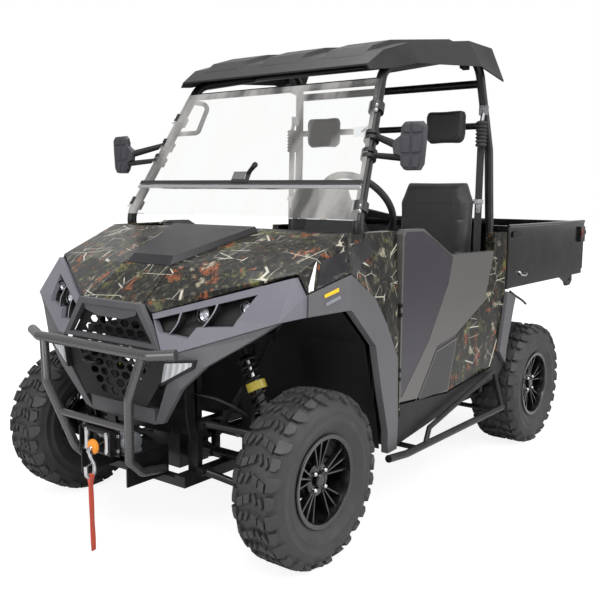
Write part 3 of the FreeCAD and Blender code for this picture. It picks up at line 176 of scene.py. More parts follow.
def cells(tree, where, scale, feature="F1"):
    """Distance from the middles or the edges of scattered cells."""
    made = add(tree, "ShaderNodeTexVoronoi", {"feature": feature}, Vector=where, Scale=scale)
    return made.outputs["Distance"]


def new_group(name, inputs, **outputs):
    """An empty node group with number inputs and named outputs: returns tree, input node and output node."""
    tree = bpy.data.node_groups.new(name, "ShaderNodeTree")
    for label, value in inputs.items():
        tree.interface.new_socket(label, in_out="INPUT", socket_type="NodeSocketFloat").default_value = value
    for label, kind in outputs.items():
        tree.interface.new_socket(label, in_out="OUTPUT", socket_type="NodeSocket" + kind)
    return tree, tree.nodes.new("NodeGroupInput"), tree.nodes.new("NodeGroupOutput")


made_once = {}


def once(maker):
    """Calls a maker of a group or material once and keeps what it made."""
    def kept():
        if maker.__name__ not in made_once:
            made_once[maker.__name__] = maker()
        return made_once[maker.__name__]
    return kept


# Effects that several materials share

@once
def moulded_grain():
    """Fine leathery grain of moulded plastic."""
    tree, start, end = new_group("Moulded grain", {"Scale": 900.0}, Height="Float", Patches="Float")
    where = stretched(tree)
    scale = start.outputs["Scale"]
    fine = maths(tree, "MULTIPLY", noise(tree, where, scale, 3.0), 0.6)
    height = maths(tree, "ADD", cells(tree, where, scale), fine)
    feed(tree, end, Height=height, Patches=noise(tree, where, 6.0, 5.0, 0.6))
    return tree


@once
def settled_dust():
    """Thin dust that gathers on upward faces and in patches."""
    tree, start, end = new_group("Settled dust", {"Amount": 0.3}, Mask="Float")
    normal = tree.nodes.new("ShaderNodeNewGeometry").outputs["Normal"]
    height = add(tree, "ShaderNodeSeparateXYZ", Vector=normal).outputs["Z"]
    upward = spread(tree, height, -0.2, 1.0, 0.25, 1.0)
    spots = spread(tree, noise(tree, stretched(tree), 14.0, 8.0, 0.65), 0.42, 0.75, 0.0, 1.0)
    share = maths(tree, "MULTIPLY", upward, spots)
    feed(tree, end, Mask=maths(tree, "MULTIPLY", share, start.outputs["Amount"]))
    return tree


@once
def orange_peel():
    """The faint waviness of sprayed paint or powder coat."""
    tree, start, end = new_group("Orange peel", {"Scale": 420.0}, Height="Float", Smears="Float")
    where = stretched(tree)
    waves = noise(tree, where, start.outputs["Scale"])
    feed(tree, end, Height=waves, Smears=noise(tree, where, 11.0, 6.0, 0.7))
    return tree


@once
def crossed_weave():
    """Over and under threads of a woven strap."""
    tree, start, end = new_group("Crossed weave", {"Threads": 700.0}, Height="Float")
    parts = object_parts(tree)
    threads = start.outputs["Threads"]
    along = maths(tree, "SINE", maths(tree, "MULTIPLY", parts["Z"], threads))
    flat = maths(tree, "ADD", parts["X"], parts["Y"])
    across = maths(tree, "SINE", maths(tree, "MULTIPLY", flat, threads))
    height = maths(tree, "ADD", maths(tree, "MULTIPLY", along, across), maths(tree, "ABSOLUTE", across))
    feed(tree, end, Height=height)
    return tree


@once
def softened_relief():
    """Fine relief, with edges that catch light as rounded ones do."""
    inputs = {"Height": 0.0, "Strength": 0.2, "Distance": 0.001}
    tree, start, end = new_group("Softened relief", inputs, Normal="Vector")
    edge = add(tree, "ShaderNodeBevel", {"samples": 4}, Radius=0.0028)
    given = {label: start.outputs[label] for label in inputs}
    bump = add(tree, "ShaderNodeBump", Normal=edge.outputs[0], **given)
    feed(tree, end, Normal=bump.outputs[0])
    return tree


def twig_layer(tree, where, width):
    """Thin branching lines."""
    return spread(tree, cells(tree, where, 1.0, "DISTANCE_TO_EDGE"), width * 0.4, width, 1.0, 0.0)


# Leaf patches of the print: scale, turn, how far they reach, darkest and lightest colour
PATCHES = (
    ((10, 15, 12), (0.3, 0.9, 0.1), 0.585, (0.050, 0.018, 0.008), (0.25, 0.068, 0.020)),
    ((13, 9, 11), (1.2, 0.2, 2.0), 0.605, (0.018, 0.024, 0.007), (0.110, 0.110, 0.030)),
    ((8, 12, 14), (2.1, 0.6, 1.1), 0.625, (0.060, 0.052, 0.036), (0.32, 0.29, 0.22)),
)


@once
def woodland_print():
    """Woodland camouflage: dark bark and litter, patches of autumn leaves, and long pale twigs."""
    tree, start, end = new_group("Woodland print", {"Leaf size": 1.0}, Color="Color")
    sized = maths(tree, "DIVIDE", 1.0, start.outputs["Leaf size"])
    bigger = add(tree, "ShaderNodeVectorMath", {"operation": "SCALE"}, Vector=object_place(tree),
                 Scale=sized).outputs[0]
    warp = add(tree, "ShaderNodeTexNoise", Vector=bigger, Scale=40.0, Detail=4.0).outputs["Color"]
    bend = (0.030, 0.030, 0.030)
    bent = ordered(tree, "ShaderNodeVectorMath", {"operation": "MULTIPLY_ADD"}, warp, bend, bigger)

    def turned_to(scale, turn, source=bent):
        return add(tree, "ShaderNodeMapping", Vector=source, Scale=scale, Rotation=turn).outputs[0]

    bark = noise(tree, turned_to((1.0, 1.0, 0.42), (0.12, 0.08, 0)), 46.0, 8.0, 0.72)
    flecks = cells(tree, turned_to((95, 95, 45), (0.2, 0.3, 0.1)), 1.0)
    grain = maths(tree, "MULTIPLY_ADD", flecks, 0.16, maths(tree, "SUBTRACT", bark, 0.075))
    colour = ramp(tree, grain, [
        (0.43, (0.0015, 0.0015, 0.0015)), (0.51, (0.006, 0.006, 0.004)), (0.57, (0.024, 0.022, 0.013)),
        (0.63, (0.060, 0.054, 0.034)), (0.73, (0.22, 0.20, 0.155)),
    ])
    crisp = spread(tree, grain, 0.44, 0.60, 0.0, 1.0)
    for scale, turn, reach, dark, light in PATCHES:
        cloud = noise(tree, turned_to(scale, turn), 1.0, 2.5, 0.6)
        mask = maths(tree, "MULTIPLY", spread(tree, cloud, reach, reach + 0.035, 0.0, 0.92),
                     spread(tree, grain, 0.43, 0.50, 0.25, 1.0))
        colour = blended(tree, mask, colour, blended(tree, crisp, dark, light))
    twigs = maths(tree, "MAXIMUM", twig_layer(tree, turned_to((2.0, 13, 6), (0.4, 0.2, 0.9), bigger), 0.016),
                  twig_layer(tree, turned_to((10, 2.4, 13), (1.0, 0.7, 0.1), bigger), 0.017))
    broken = spread(tree, noise(tree, bent, 8.0), 0.50, 0.55, 0.0, 0.95)
    colour = blended(tree, maths(tree, "MULTIPLY", twigs, broken), colour, (0.52, 0.49, 0.41))
    feed(tree, end, Color=colour)
    return tree


# Materials

def new_material(name, colour, roughness, metallic=0.0, **constants):
    """A material with its tree and its main shader."""
    made = bpy.data.materials.new(name)
    made.use_nodes = True
    shader = made.node_tree.nodes["Principled BSDF"]
    feed(made.node_tree, shader, Base_Color=colour, Roughness=roughness, Metallic=metallic, **constants)
    return made, made.node_tree, shader


def use_group(tree, group, **sockets):
    """A placed node group."""
    return add(tree, "ShaderNodeGroup", {"node_tree": group}, **sockets)


def bumped(tree, shader, height, strength, distance=0.001):
    """Raises or sinks the surface a little by a height, and softens its edges."""
    relief = use_group(tree, softened_relief(), Height=height, Strength=strength, Distance=distance)
    feed(tree, shader, Normal=relief.outputs["Normal"])


def mixed_shaders(tree, share, first, second):
    """Sends a blend of two shaders to the material's output."""
    mix = ordered(tree, "ShaderNodeMixShader", {}, share, first.outputs[0], second.outputs[0])
    feed(tree, tree.nodes["Material Output"], Surface=mix)


def plastic(name, colour, roughness, grain=0.25, dust=0.12, scale=900.0):
    """Moulded plastic with grain, uneven gloss and a little dust."""
    made, tree, shader = new_material(name, colour, roughness, Specular_IOR_Level=0.28)
    effect = use_group(tree, moulded_grain(), Scale=scale)
    film = use_group(tree, settled_dust(), Amount=dust)
    paler = tuple(min(1.0, part * 1.25 + 0.01) for part in colour)
    varied = blended(tree, effect.outputs["Patches"], colour, paler)
    gloss = spread(tree, effect.outputs["Patches"], 0.3, 0.7, roughness - 0.06, roughness + 0.08)
    feed(tree, shader, Base_Color=blended(tree, film.outputs["Mask"], varied, (0.30, 0.28, 0.25)),
         Roughness=maths(tree, "MULTIPLY_ADD", film.outputs["Mask"], 0.3, gloss))
    bumped(tree, shader, effect.outputs["Height"], grain, 0.0004)
    return made


def coated_metal(name, colour, roughness, metallic=0.0, coat=0.4, peel=0.12):
    """Sprayed or powder-coated metal."""
    made, tree, shader = new_material(name, colour, roughness, metallic, Specular_IOR_Level=0.28,
                                      Coat_Weight=coat, Coat_Roughness=0.12)
    effect = use_group(tree, orange_peel())
    film = use_group(tree, settled_dust(), Amount=0.10)
    feed(tree, shader, Base_Color=blended(tree, film.outputs["Mask"], colour, (0.26, 0.25, 0.23)),
         Roughness=spread(tree, effect.outputs["Smears"], 0.3, 0.7, roughness - 0.05, roughness + 0.10))
    bumped(tree, shader, effect.outputs["Height"], peel, 0.0005)
    return made


def bare_metal(name, colour, roughness, streaks=(12, 300, 300)):
    """Uncoated metal with fine streaks."""
    made, tree, shader = new_material(name, colour, roughness, 1.0)
    lines = noise(tree, stretched(tree, streaks), 1.0, 4.0)
    feed(tree, shader, Base_Color=blended(tree, lines, shaded(colour, 0.72), colour),
         Roughness=spread(tree, lines, 0.3, 0.7, roughness - 0.06, roughness + 0.12))
    bumped(tree, shader, lines, 0.15, 0.0003)
    return made


@once
def camouflage():
    """Glossy printed body plastic."""
    made, tree, shader = new_material("camouflage_print", (0.05, 0.05, 0.03), 0.26, Specular_IOR_Level=0.22,
                                      Coat_Weight=0.2, Coat_Roughness=0.06)
    picture = use_group(tree, woodland_print(), Leaf_size=bpy.context.scene.utv_pieces.leaf_size)
    effect = use_group(tree, orange_peel())
    feed(tree, shader, Base_Color=picture.outputs["Color"],
         Roughness=spread(tree, effect.outputs["Smears"], 0.3, 0.7, 0.2, 0.36))
    bumped(tree, shader, effect.outputs["Height"], 0.05, 0.0005)
    return made


@once
def black_plastic():
    """Grained black plastic of roof, dash, sills and liners."""
    return plastic("black_plastic", (0.006, 0.006, 0.007), 0.42, 0.3, 0.03)


@once
def scoop_plastic():
    """Satin charcoal plastic of the scoop."""
    return plastic("scoop_plastic", (0.012, 0.011, 0.013), 0.34, 0.15, 0.03)


@once
def trim_plastic():
    """Satin grey plastic of the wheel arch trims."""
    return plastic("trim_plastic", (0.092, 0.090, 0.096), 0.36, 0.12, 0.05)


@once
def fascia_plastic():
    """Satin lavender-grey plastic of the lamp surrounds."""
    return plastic("fascia_plastic", (0.125, 0.122, 0.145), 0.33, 0.10, 0.05)


@once
def frame_grey_plastic():
    """Mid-grey plastic of the grille frame and lower braces."""
    return plastic("frame_grey_plastic", (0.080, 0.080, 0.086), 0.38, 0.15, 0.05)


def metallic_plastic(name, colour, glint_colour, roughness=0.36):
    """Plastic with metal specks in its colour, drawn lighter than the rest as a painted glint."""
    made, tree, shader = new_material(name, colour, roughness, 0.3, Coat_Weight=0.25, Coat_Roughness=0.2)
    # Painted glint: fine specks lighten the base colour up to a quarter of the way to the glint colour.
    flake_glints = spread(tree, cells(tree, stretched(tree), 2600.0), 0.0, 0.6, 1.0, 0.0)
    varied = blended(tree, maths(tree, "MULTIPLY", flake_glints, 0.25), colour, glint_colour)
    film = use_group(tree, settled_dust(), Amount=0.06)
    feed(tree, shader, Base_Color=blended(tree, film.outputs["Mask"], varied, (0.26, 0.25, 0.24)))
    effect = use_group(tree, orange_peel(), Scale=300.0)
    bumped(tree, shader, effect.outputs["Height"], 0.10, 0.0005)
    return made


@once
def door_skin():
    """Dark purple-grey metallic plastic of the door's front panel."""
    return metallic_plastic("door_skin", (0.030, 0.026, 0.037), (0.13, 0.12, 0.15))


@once
def door_rear_skin():
    """Warm grey metallic plastic of the door's swept rear part."""
    return metallic_plastic("door_rear_skin", (0.108, 0.102, 0.096), (0.28, 0.27, 0.25), 0.38)


@once
def door_low_skin():
    """Dark grey plastic of the door's lower panel."""
    return plastic("door_low_skin", (0.040, 0.039, 0.042), 0.40, 0.12, 0.05)


@once
def grille_plastic():
    """Grey frame and name bar, and black mesh behind them."""
    made = plastic("grille_plastic", (0.070, 0.070, 0.076), 0.36, 0.12, 0.05)
    tree = made.node_tree
    shader = tree.nodes["Principled BSDF"]
    painted = shader.inputs["Base Color"].links[0].from_socket
    behind = maths(tree, "LESS_THAN", object_parts(tree)["X"], MESH_FRONT_X)
    feed(tree, shader, Base_Color=blended(tree, behind, painted, (0.006, 0.006, 0.007)))
    return made


@once
def rail_alloy():
    """Drawn aluminium rails with black plastic latch and clamps."""
    made, tree, shader = new_material("rail_alloy", (0.60, 0.60, 0.62), 0.28, 0.35)
    height = object_parts(tree)["Z"]
    low, high = RAIL_HEIGHTS
    above = maths(tree, "GREATER_THAN", height, high)
    below = maths(tree, "LESS_THAN", height, low)
    black = maths(tree, "MAXIMUM", above, below)
    lines = noise(tree, stretched(tree, (300, 6, 300)), 1.0, 4.0)
    drawn = blended(tree, lines, (0.42, 0.42, 0.44), (0.66, 0.66, 0.68))
    feed(tree, shader, Base_Color=blended(tree, black, drawn, (0.012, 0.012, 0.013)),
         Metallic=maths(tree, "SUBTRACT", 1.0, black), Roughness=maths(tree, "MULTIPLY_ADD", black, 0.15, 0.26))
    bumped(tree, shader, lines, 0.12, 0.0003)
    return made


@once
def mirror_plastic():
    """Dark grey plastic of the mirror housings."""
    return plastic("mirror_plastic", (0.038, 0.036, 0.043), 0.38, 0.25, 0.03)


@once
def fin_plastic():
    """Bright grey plastic of the lamp fins: on their front edges it is a painted highlight."""
    return plastic("fin_plastic", (0.22, 0.22, 0.25), 0.30, 0.06, 0.04)


@once
def rope_steel():
    """Galvanised wire rope."""
    return bare_metal("rope_steel", (0.52, 0.52, 0.50), 0.30, (260, 260, 260))


@once
def seat_stitch():
    """Grey welt along the seams."""
    return plastic("seat_stitch", (0.035, 0.035, 0.036), 0.6, 0.3, 0.0, 500.0)


@once
def lamp_silver():
    """Silver inside of the lower lamp."""
    return lens_plastic("lamp_silver", (0.62, 0.63, 0.66))


@once
def powder_black():
    """Satin black powder coat of cage, steps and frame."""
    return coated_metal("powder_black", (0.006, 0.006, 0.007), 0.34, 0.0, 0.15)


@once
def gunmetal():
    """Metallic grey coat of the brush guard."""
    return coated_metal("gunmetal", (0.075, 0.075, 0.078), 0.24, 0.55, 0.6)


@once
def gloss_black():
    """Gloss black paint of bed and wheels."""
    return coated_metal("gloss_black", (0.004, 0.004, 0.005), 0.16, 0.0, 0.7, 0.08)


@once
def tyre_rubber():
    """Dusty tyre rubber."""
    made, tree, shader = new_material("tyre_rubber", (0.028, 0.028, 0.030), 0.60, Specular_IOR_Level=0.5)
    effect = use_group(tree, moulded_grain(), Scale=500.0)
    film = use_group(tree, settled_dust(), Amount=0.30)
    base = blended(tree, effect.outputs["Patches"], (0.016, 0.016, 0.017), (0.040, 0.038, 0.038))
    feed(tree, shader, Base_Color=blended(tree, film.outputs["Mask"], base, (0.13, 0.12, 0.115)),
         Roughness=spread(tree, effect.outputs["Patches"], 0.3, 0.7, 0.45, 0.70))
    bumped(tree, shader, effect.outputs["Height"], 0.35, 0.0006)
    return made


@once
def bellows_rubber():
    """Matt black rubber of boots and gaiters."""
    return plastic("bellows_rubber", (0.018, 0.018, 0.019), 0.62, 0.3, 0.2, 600.0)


@once
def cast_iron():
    """Dark cast metal with a rough skin."""
    made, tree, shader = new_material("cast_iron", (0.05, 0.05, 0.053), 0.5, 0.7)
    effect = use_group(tree, moulded_grain(), Scale=260.0)
    film = use_group(tree, settled_dust(), Amount=0.3)
    dusty = blended(tree, film.outputs["Mask"], (0.045, 0.045, 0.048), (0.16, 0.14, 0.12))
    feed(tree, shader, Base_Color=dusty)
    bumped(tree, shader, effect.outputs["Height"], 0.5, 0.0012)
    return made


@once
def cast_alloy():
    """Sand-cast aluminium of the engine."""
    made, tree, shader = new_material("cast_alloy", (0.22, 0.22, 0.23), 0.5, 0.8)
    effect = use_group(tree, moulded_grain(), Scale=220.0)
    stained = blended(tree, effect.outputs["Patches"], (0.14, 0.14, 0.15), (0.30, 0.30, 0.31))
    feed(tree, shader, Base_Color=stained)
    bumped(tree, shader, effect.outputs["Height"], 0.5, 0.001)
    return made


@once
def bright_steel():
    """Polished steel of rods, rollers and nuts."""
    return bare_metal("bright_steel", (0.62, 0.62, 0.64), 0.18)


@once
def satin_steel():
    """Satin steel of shafts and rack."""
    return bare_metal("satin_steel", (0.30, 0.30, 0.31), 0.34)


@once
def winch_grey():
    """Satin grey paint of the winch."""
    return coated_metal("winch_grey", (0.20, 0.21, 0.225), 0.36, 0.4)


@once
def exhaust_steel():
    """Heat-tinted exhaust steel."""
    made, tree, shader = new_material("exhaust_steel", (0.28, 0.26, 0.24), 0.4, 1.0)
    tint = noise(tree, stretched(tree), 9.0, 6.0)
    stops = [(0.35, (0.16, 0.13, 0.10)), (0.5, (0.30, 0.28, 0.26)), (0.65, (0.24, 0.20, 0.16))]
    feed(tree, shader, Base_Color=ramp(tree, tint, stops))
    bumped(tree, shader, tint, 0.2, 0.0006)
    return made


@once
def seat_vinyl():
    """Black grained seat vinyl."""
    made, tree, shader = new_material("seat_vinyl", (0.016, 0.016, 0.017), 0.55, Sheen_Weight=0.15)
    effect = use_group(tree, moulded_grain(), Scale=420.0)
    patches = effect.outputs["Patches"]
    feed(tree, shader, Base_Color=blended(tree, patches, (0.013, 0.013, 0.014), (0.026, 0.026, 0.027)),
         Roughness=spread(tree, patches, 0.3, 0.7, 0.46, 0.64))
    bumped(tree, shader, effect.outputs["Height"], 0.45, 0.0006)
    return made


def woven(name, colour, threads):
    """Woven webbing of one colour."""
    made, tree, shader = new_material(name, colour, 0.7, Sheen_Weight=0.3)
    effect = use_group(tree, crossed_weave(), Threads=threads)
    shade = spread(tree, effect.outputs["Height"], -1.0, 2.0, 0.0, 1.0)
    feed(tree, shader, Base_Color=blended(tree, shade, shaded(colour, 0.45), colour))
    bumped(tree, shader, effect.outputs["Height"], 0.5, 0.0008)
    return made


@once
def belt_webbing():
    """Black belt webbing."""
    return woven("belt_webbing", (0.030, 0.030, 0.032), 2600.0)


@once
def red_webbing():
    """Red-orange pull strap."""
    return woven("red_webbing", tuple(bpy.context.scene.utv_pieces.strap_colour), 1800.0)


@once
def clear_pane():
    """Clear screen plastic with a faint film and a glare in streaks."""
    made, tree, shader = new_material("clear_pane", (0.96, 0.975, 0.98), 0.04, Transmission_Weight=1.0,
                                      IOR=1.08)
    haze = noise(tree, stretched(tree), 5.0, 5.0)
    feed(tree, shader, Roughness=spread(tree, haze, 0.4, 0.7, 0.02, 0.07))
    streaks = noise(tree, stretched(tree, (1.2, 5.0, 1.6), (0.5, 0.2, 0.3)), 1.6, 3.0)
    glare = add(tree, "ShaderNodeEmission", Color=(1.0, 0.97, 0.94), Strength=0.97)
    mixed_shaders(tree, spread(tree, streaks, 0.40, 0.62, 0.05, 0.27), shader, glare)
    return made


@once
def lamp_glass():
    """Clear lamp lens."""
    made, tree, shader = new_material("lamp_glass", (0.93, 0.95, 0.97), 0.03, Transmission_Weight=1.0, IOR=1.35)
    bumped(tree, shader, noise(tree, stretched(tree), 60.0), 0.05, 0.0005)
    return made


def lens_plastic(name, colour, glow=0.0):
    """Ribbed coloured lens."""
    made, tree, shader = new_material(name, colour, 0.16, Coat_Weight=0.6, Emission_Strength=glow,
                                      Emission_Color=colour)
    ribs = add(tree, "ShaderNodeTexWave", Vector=stretched(tree), Scale=60.0).outputs["Fac"]
    feed(tree, shader, Base_Color=blended(tree, ribs, shaded(colour, 0.6), colour))
    bumped(tree, shader, ribs, 0.3, 0.0008)
    return made


@once
def red_lens():
    """Tail lamp lens."""
    return lens_plastic("red_lens", (0.22, 0.008, 0.008))


@once
def amber_lens():
    """Side reflector, with a faint painted glow."""
    return lens_plastic("amber_lens", (0.95, 0.62, 0.02), 0.15)


@once
def yellow_paint():
    """Yellow collar of the shocks."""
    return coated_metal("yellow_paint", (0.62, 0.50, 0.06), 0.35)


@once
def orange_stopper():
    """Orange rubber rope stopper."""
    return plastic("orange_stopper", tuple(bpy.context.scene.utv_pieces.stopper_colour), 0.5, 0.2, 0.15)


@once
def white_decal():
    """Printed white stripe."""
    return plastic("white_decal", (0.75, 0.75, 0.76), 0.3, 0.04, 0.08)


@once
def black_decal():
    """Gloss black printed panel."""
    return plastic("black_decal", (0.010, 0.010, 0.012), 0.18, 0.04, 0.06)


@once
def mirror_silver():
    """Silvered mirror face."""
    made, tree, shader = new_material("mirror_silver", (0.85, 0.87, 0.88), 0.03, 1.0)
    haze = noise(tree, stretched(tree), 8.0)
    feed(tree, shader, Roughness=spread(tree, haze, 0.4, 0.7, 0.02, 0.06))
    return made


# Shapes

class Shape:
    """Points and faces of one piece, added part by part."""

    def __init__(self, points=(), faces=()):
        self.points = list(points)
        self.faces = list(faces)

    def add(self, points, faces):
        """Adds points with faces that count from their first point."""
        first = len(self.points)
        self.points += [Vector(point) for point in points]
        self.faces += [tuple(first + number for number in face) for face in faces]
        return self

    def rings(self, rings, caps=(True, True), closed=False):
        """Rings of equally many points, each joined to the next, and capped at the ends unless closed."""
        count = len(rings[0])
        faces = []
        for number in range(len(rings) if closed else len(rings) - 1):
            here = number * count
            there = (number + 1) % len(rings) * count
            for corner in range(count):
                after = (corner + 1) % count
                faces.append((here + corner, here + after, there + after, there + corner))
        if caps[0] and not closed:
            faces.append(tuple(reversed(range(count))))
        if caps[1] and not closed:
            faces.append(tuple(range((len(rings) - 1) * count, len(rings) * count)))
        return self.add([point for ring in rings for point in ring], faces)

    def turned(self, profile, centre, axis=Y_AXIS, steps=64, start=0.0):
        """A closed (radius, along) outline turned a full circle about an axis."""
        axis = Vector(axis).normalized()
        side = axis.orthogonal().normalized()
        other = axis.cross(side)
        rings = []
        for step in range(steps):
            angle = start + 2 * math.pi * step / steps
            out = side * math.cos(angle) + other * math.sin(angle)
            rings.append([Vector(centre) + out * radius + axis * along for radius, along in profile])
        return self.rings(rings, closed=True)

    def prism(self, outline, shift, inset=0.0):
        """A flat outline of 3D points, drawn out along a shift and drawn in a little at the far end."""
        outline = [Vector(point) for point in outline]
        middle = sum(outline, Vector()) / len(outline)
        shift = Vector(shift)
        far = [point + shift + (middle - point).normalized() * inset for point in outline]
        return self.rings([outline, far])

    def block(self, low, high):
        """A block between two corners."""
        (x0, y0, z0), (x1, y1, z1) = low, high
        return self.prism([(x0, y0, z0), (x1, y0, z0), (x1, y1, z0), (x0, y1, z0)], (0, 0, z1 - z0))

    def bar(self, start, end, radius, steps=16, end_radius=None):
        """A round bar between two points."""
        start, end = Vector(start), Vector(end)
        along = end - start
        far = radius if end_radius is None else end_radius
        return self.turned([(0.0001, 0), (radius, 0), (far, along.length), (0.0001, along.length)],
                           start, along, steps)

    def swept(self, path, radius, steps=10, closed=False):
        """A round section carried along a path of points."""
        path = [Vector(point) for point in path]
        count = len(path)
        side = None
        rings = []
        for number, here in enumerate(path):
            before = path[number - 1] if number or closed else here
            after = path[(number + 1) % count] if number < count - 1 or closed else here
            along = (after - before).normalized()
            if side is None:
                side = along.orthogonal().normalized()
            side = (side - along * side.dot(along)).normalized()
            other = along.cross(side)
            rings.append([here + (side * math.cos(angle) + other * math.sin(angle)) * radius
                          for angle in (2 * math.pi * step / steps for step in range(steps))])
        return self.rings(rings, closed=closed)

    def mirrored(self):
        """The same shape on the vehicle's other side."""
        return Shape([Vector((point.x, -point.y, point.z)) for point in self.points],
                     [tuple(reversed(face)) for face in self.faces])

    def moved(self, shift):
        """The same shape, moved."""
        return Shape([point + Vector(shift) for point in self.points], self.faces)


def piece(name, shape, finish, body, slot, bevel=0.0, smooth=True, segments=2, thick=0.0):
    """A piece of the scene from a shape, with its finish and body. The slot is not used."""
    mesh = bpy.data.meshes.new(name)
    mesh.from_pydata(shape.points, [], shape.faces)
    mesh.validate()
    if not thick:
        turned_out = bmesh.new()
        turned_out.from_mesh(mesh)
        bmesh.ops.recalc_face_normals(turned_out, faces=turned_out.faces)
        turned_out.to_mesh(mesh)
        turned_out.free()
    mesh.update()
    made = bpy.data.objects.new(name, mesh)
    bpy.context.scene.collection.objects.link(made)
    mesh.materials.append(finish)
    if thick:
        wall = made.modifiers.new("Wall", "SOLIDIFY")
        wall.thickness = thick
        wall.offset = 0.0
    if bevel:
        edge = made.modifiers.new("Soft edges", "BEVEL")
        edge.width = bevel
        edge.segments = segments
        edge.limit_method = "ANGLE"
        edge.angle_limit = math.radians(35)
        edge.use_clamp_overlap = True
    if smooth:
        mesh.shade_smooth()
        mesh.set_sharp_from_angle(angle=math.radians(38))
    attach(made, body)
    return made


def both_sides(name, shape, finish, body, slot, **more):
    """A piece and its mirror image, on one body or on a body for each side."""
    left_body, right_body = body if isinstance(body, tuple) else (body, body)
    return [piece(name + "_left", shape, finish, left_body, slot, **more),
            piece(name + "_right", shape.mirrored(), finish, right_body, slot, **more)]


def dress(finish, *nodes):
    """Gives CAD nodes a finish."""
    for node in nodes:
        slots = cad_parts[node].data.materials
        slots.clear()
        slots.append(finish)


def side_view(outline, y):
    """Points of an (x, z) outline, in millimetres, at one Y."""
    return [mm(x, y, z) for x, z in outline]


def front_view(outline, x):
    """Points of a (y, z) outline, in millimetres, at one X."""
    return [mm(x, y, z) for y, z in outline]


def face_finder(node):
    """Finds points on a CAD node's faces."""
    found = bmesh.new()
    found.from_mesh(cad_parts[node].data)
    return BVHTree.FromBMesh(found)


def laid_on(node, corners, toward, lift=0.0015, cuts=5):
    """A skin over part of a node: the corners, and points between them, carried onto its faces."""
    faces = face_finder(node)
    toward = Vector(toward).normalized()
    skin = bmesh.new()
    skin.faces.new([skin.verts.new(corner) for corner in corners])
    bmesh.ops.triangulate(skin, faces=skin.faces)
    bmesh.ops.subdivide_edges(skin, edges=skin.edges, cuts=cuts, use_grid_fill=True)
    skin.verts.index_update()
    points = []
    for vert in skin.verts:
        hit = faces.ray_cast(vert.co - toward * 0.5, toward)[0]
        if hit is None:
            hit = faces.find_nearest(vert.co)[0]
            if hit is None or (hit - vert.co).cross(toward).length > 0.03:
                raise ValueError(f"a corner of a skin runs off {node}")
        points.append(hit - toward * lift)
    return Shape().add(points, [tuple(vert.index for vert in face.verts) for face in skin.faces])


def pillar_at(z):
    """A point of the left front pillar's centre line."""
    share = (z - PILLAR_FOOT.z) / (PILLAR_HEAD.z - PILLAR_FOOT.z)
    return PILLAR_FOOT.lerp(PILLAR_HEAD, share)


def wheel_piece(prefix, shape, finish, end, side, slot, **more):
    """A piece of one wheel, from a left wheel's shape that is centred on its axle."""
    axle_x, wheel_y, _ = AXLES[end]
    if side == "right":
        shape, wheel_y = shape.mirrored(), -wheel_y
    name = end + "_" + side
    placed = shape.moved((axle_x, wheel_y, TYRE_RADIUS))
    return piece(prefix + name, placed, finish, "wheel_" + name, slot, **more)


def hex_bolt(shape, centre, axis, radius, height):
    """A hexagon bolt head with its washer."""
    axis = Vector(axis).normalized()
    shape.turned([(0.0001, 0), (radius * 1.35, 0), (radius * 1.35, height * 0.25), (0.0001, height * 0.25)],
                 centre, axis, 20)
    shape.turned([(0.0001, 0), (radius, 0), (radius, height * 0.85), (radius * 0.85, height), (0.0001, height)],
                 Vector(centre) + axis * height * 0.25, axis, 6)


# Tyres

def crown_line(half):
    """The tyre's outer line from its crown down one side, as (across, radius)."""
    tip = TYRE_RADIUS - 0.0004
    return [(0.0, tip), (half - CROWN_TO_SIDEWALL, tip), (half - 0.030, tip - 0.002),
            (half - 0.018, tip - 0.008), (half - 0.007, tip - 0.017), (half - 0.001, tip - 0.030),
            (half - 0.001, tip - 0.060), (half - 0.003, 0.235)]


def on_line(line, along):
    """Place and outward direction at a length along a line of (across, radius) points."""
    for (a0, r0), (a1, r1) in zip(line, line[1:]):
        step = math.hypot(a1 - a0, r1 - r0)
        if along <= step:
            break
        along -= step
    else:
        along += step
    share = along / step
    return Vector((a0 + (a1 - a0) * share, r0 + (r1 - r0) * share)), Vector((r0 - r1, a1 - a0)).normalized()


TYRE_PITCHES = 15
CROWN_TO_SIDEWALL = 0.045

# Lugs of one pitch, as corners (across, round share). Across is a share of the crown's half width for
# crown lugs, and metres past its edge for shoulder lugs.
CROWN_LUGS = (
    ((0.02, 0.02), (0.46, 0.10), (0.46, 0.34), (0.02, 0.26)),
    ((0.52, 0.12), (0.98, 0.20), (0.98, 0.44), (0.52, 0.36)),
    ((0.16, 0.58), (0.30, 0.48), (0.52, 0.70), (0.40, 0.82)),
    ((0.60, 0.62), (0.74, 0.54), (0.98, 0.74), (0.86, 0.88)),
)
SHOULDER_LUGS = (
    ((0.004, 0.02), (0.062, -0.02), (0.066, 0.14), (0.052, 0.30), (0.030, 0.40), (0.004, 0.40)),
    ((0.006, 0.50), (0.040, 0.50), (0.046, 0.72), (0.028, 0.86), (0.006, 0.86)),
)


def lug(shape, corners, line, side, first, depth):
    """One tread block with tapered walls, standing on the carcass."""
    turn = 2 * math.pi / TYRE_PITCHES
    middle_along = sum(along for along, _ in corners) / len(corners)
    middle_round = sum(share for _, share in corners) / len(corners)
    rings = []
    for sink, size in ((depth + 0.004, 1.10), (0.0, 0.94)):
        ring = []
        for along, share in corners:
            along = middle_along + (along - middle_along) * size
            share = middle_round + (share - middle_round) * size
            place, out = on_line(line, max(along, 0.0))
            across, radius = place - out * sink
            angle = (first + share) * turn
            ring.append(Vector((math.sin(angle) * radius, side * across, math.cos(angle) * radius)))
        rings.append(ring)
    shape.rings(rings, caps=(False, True))


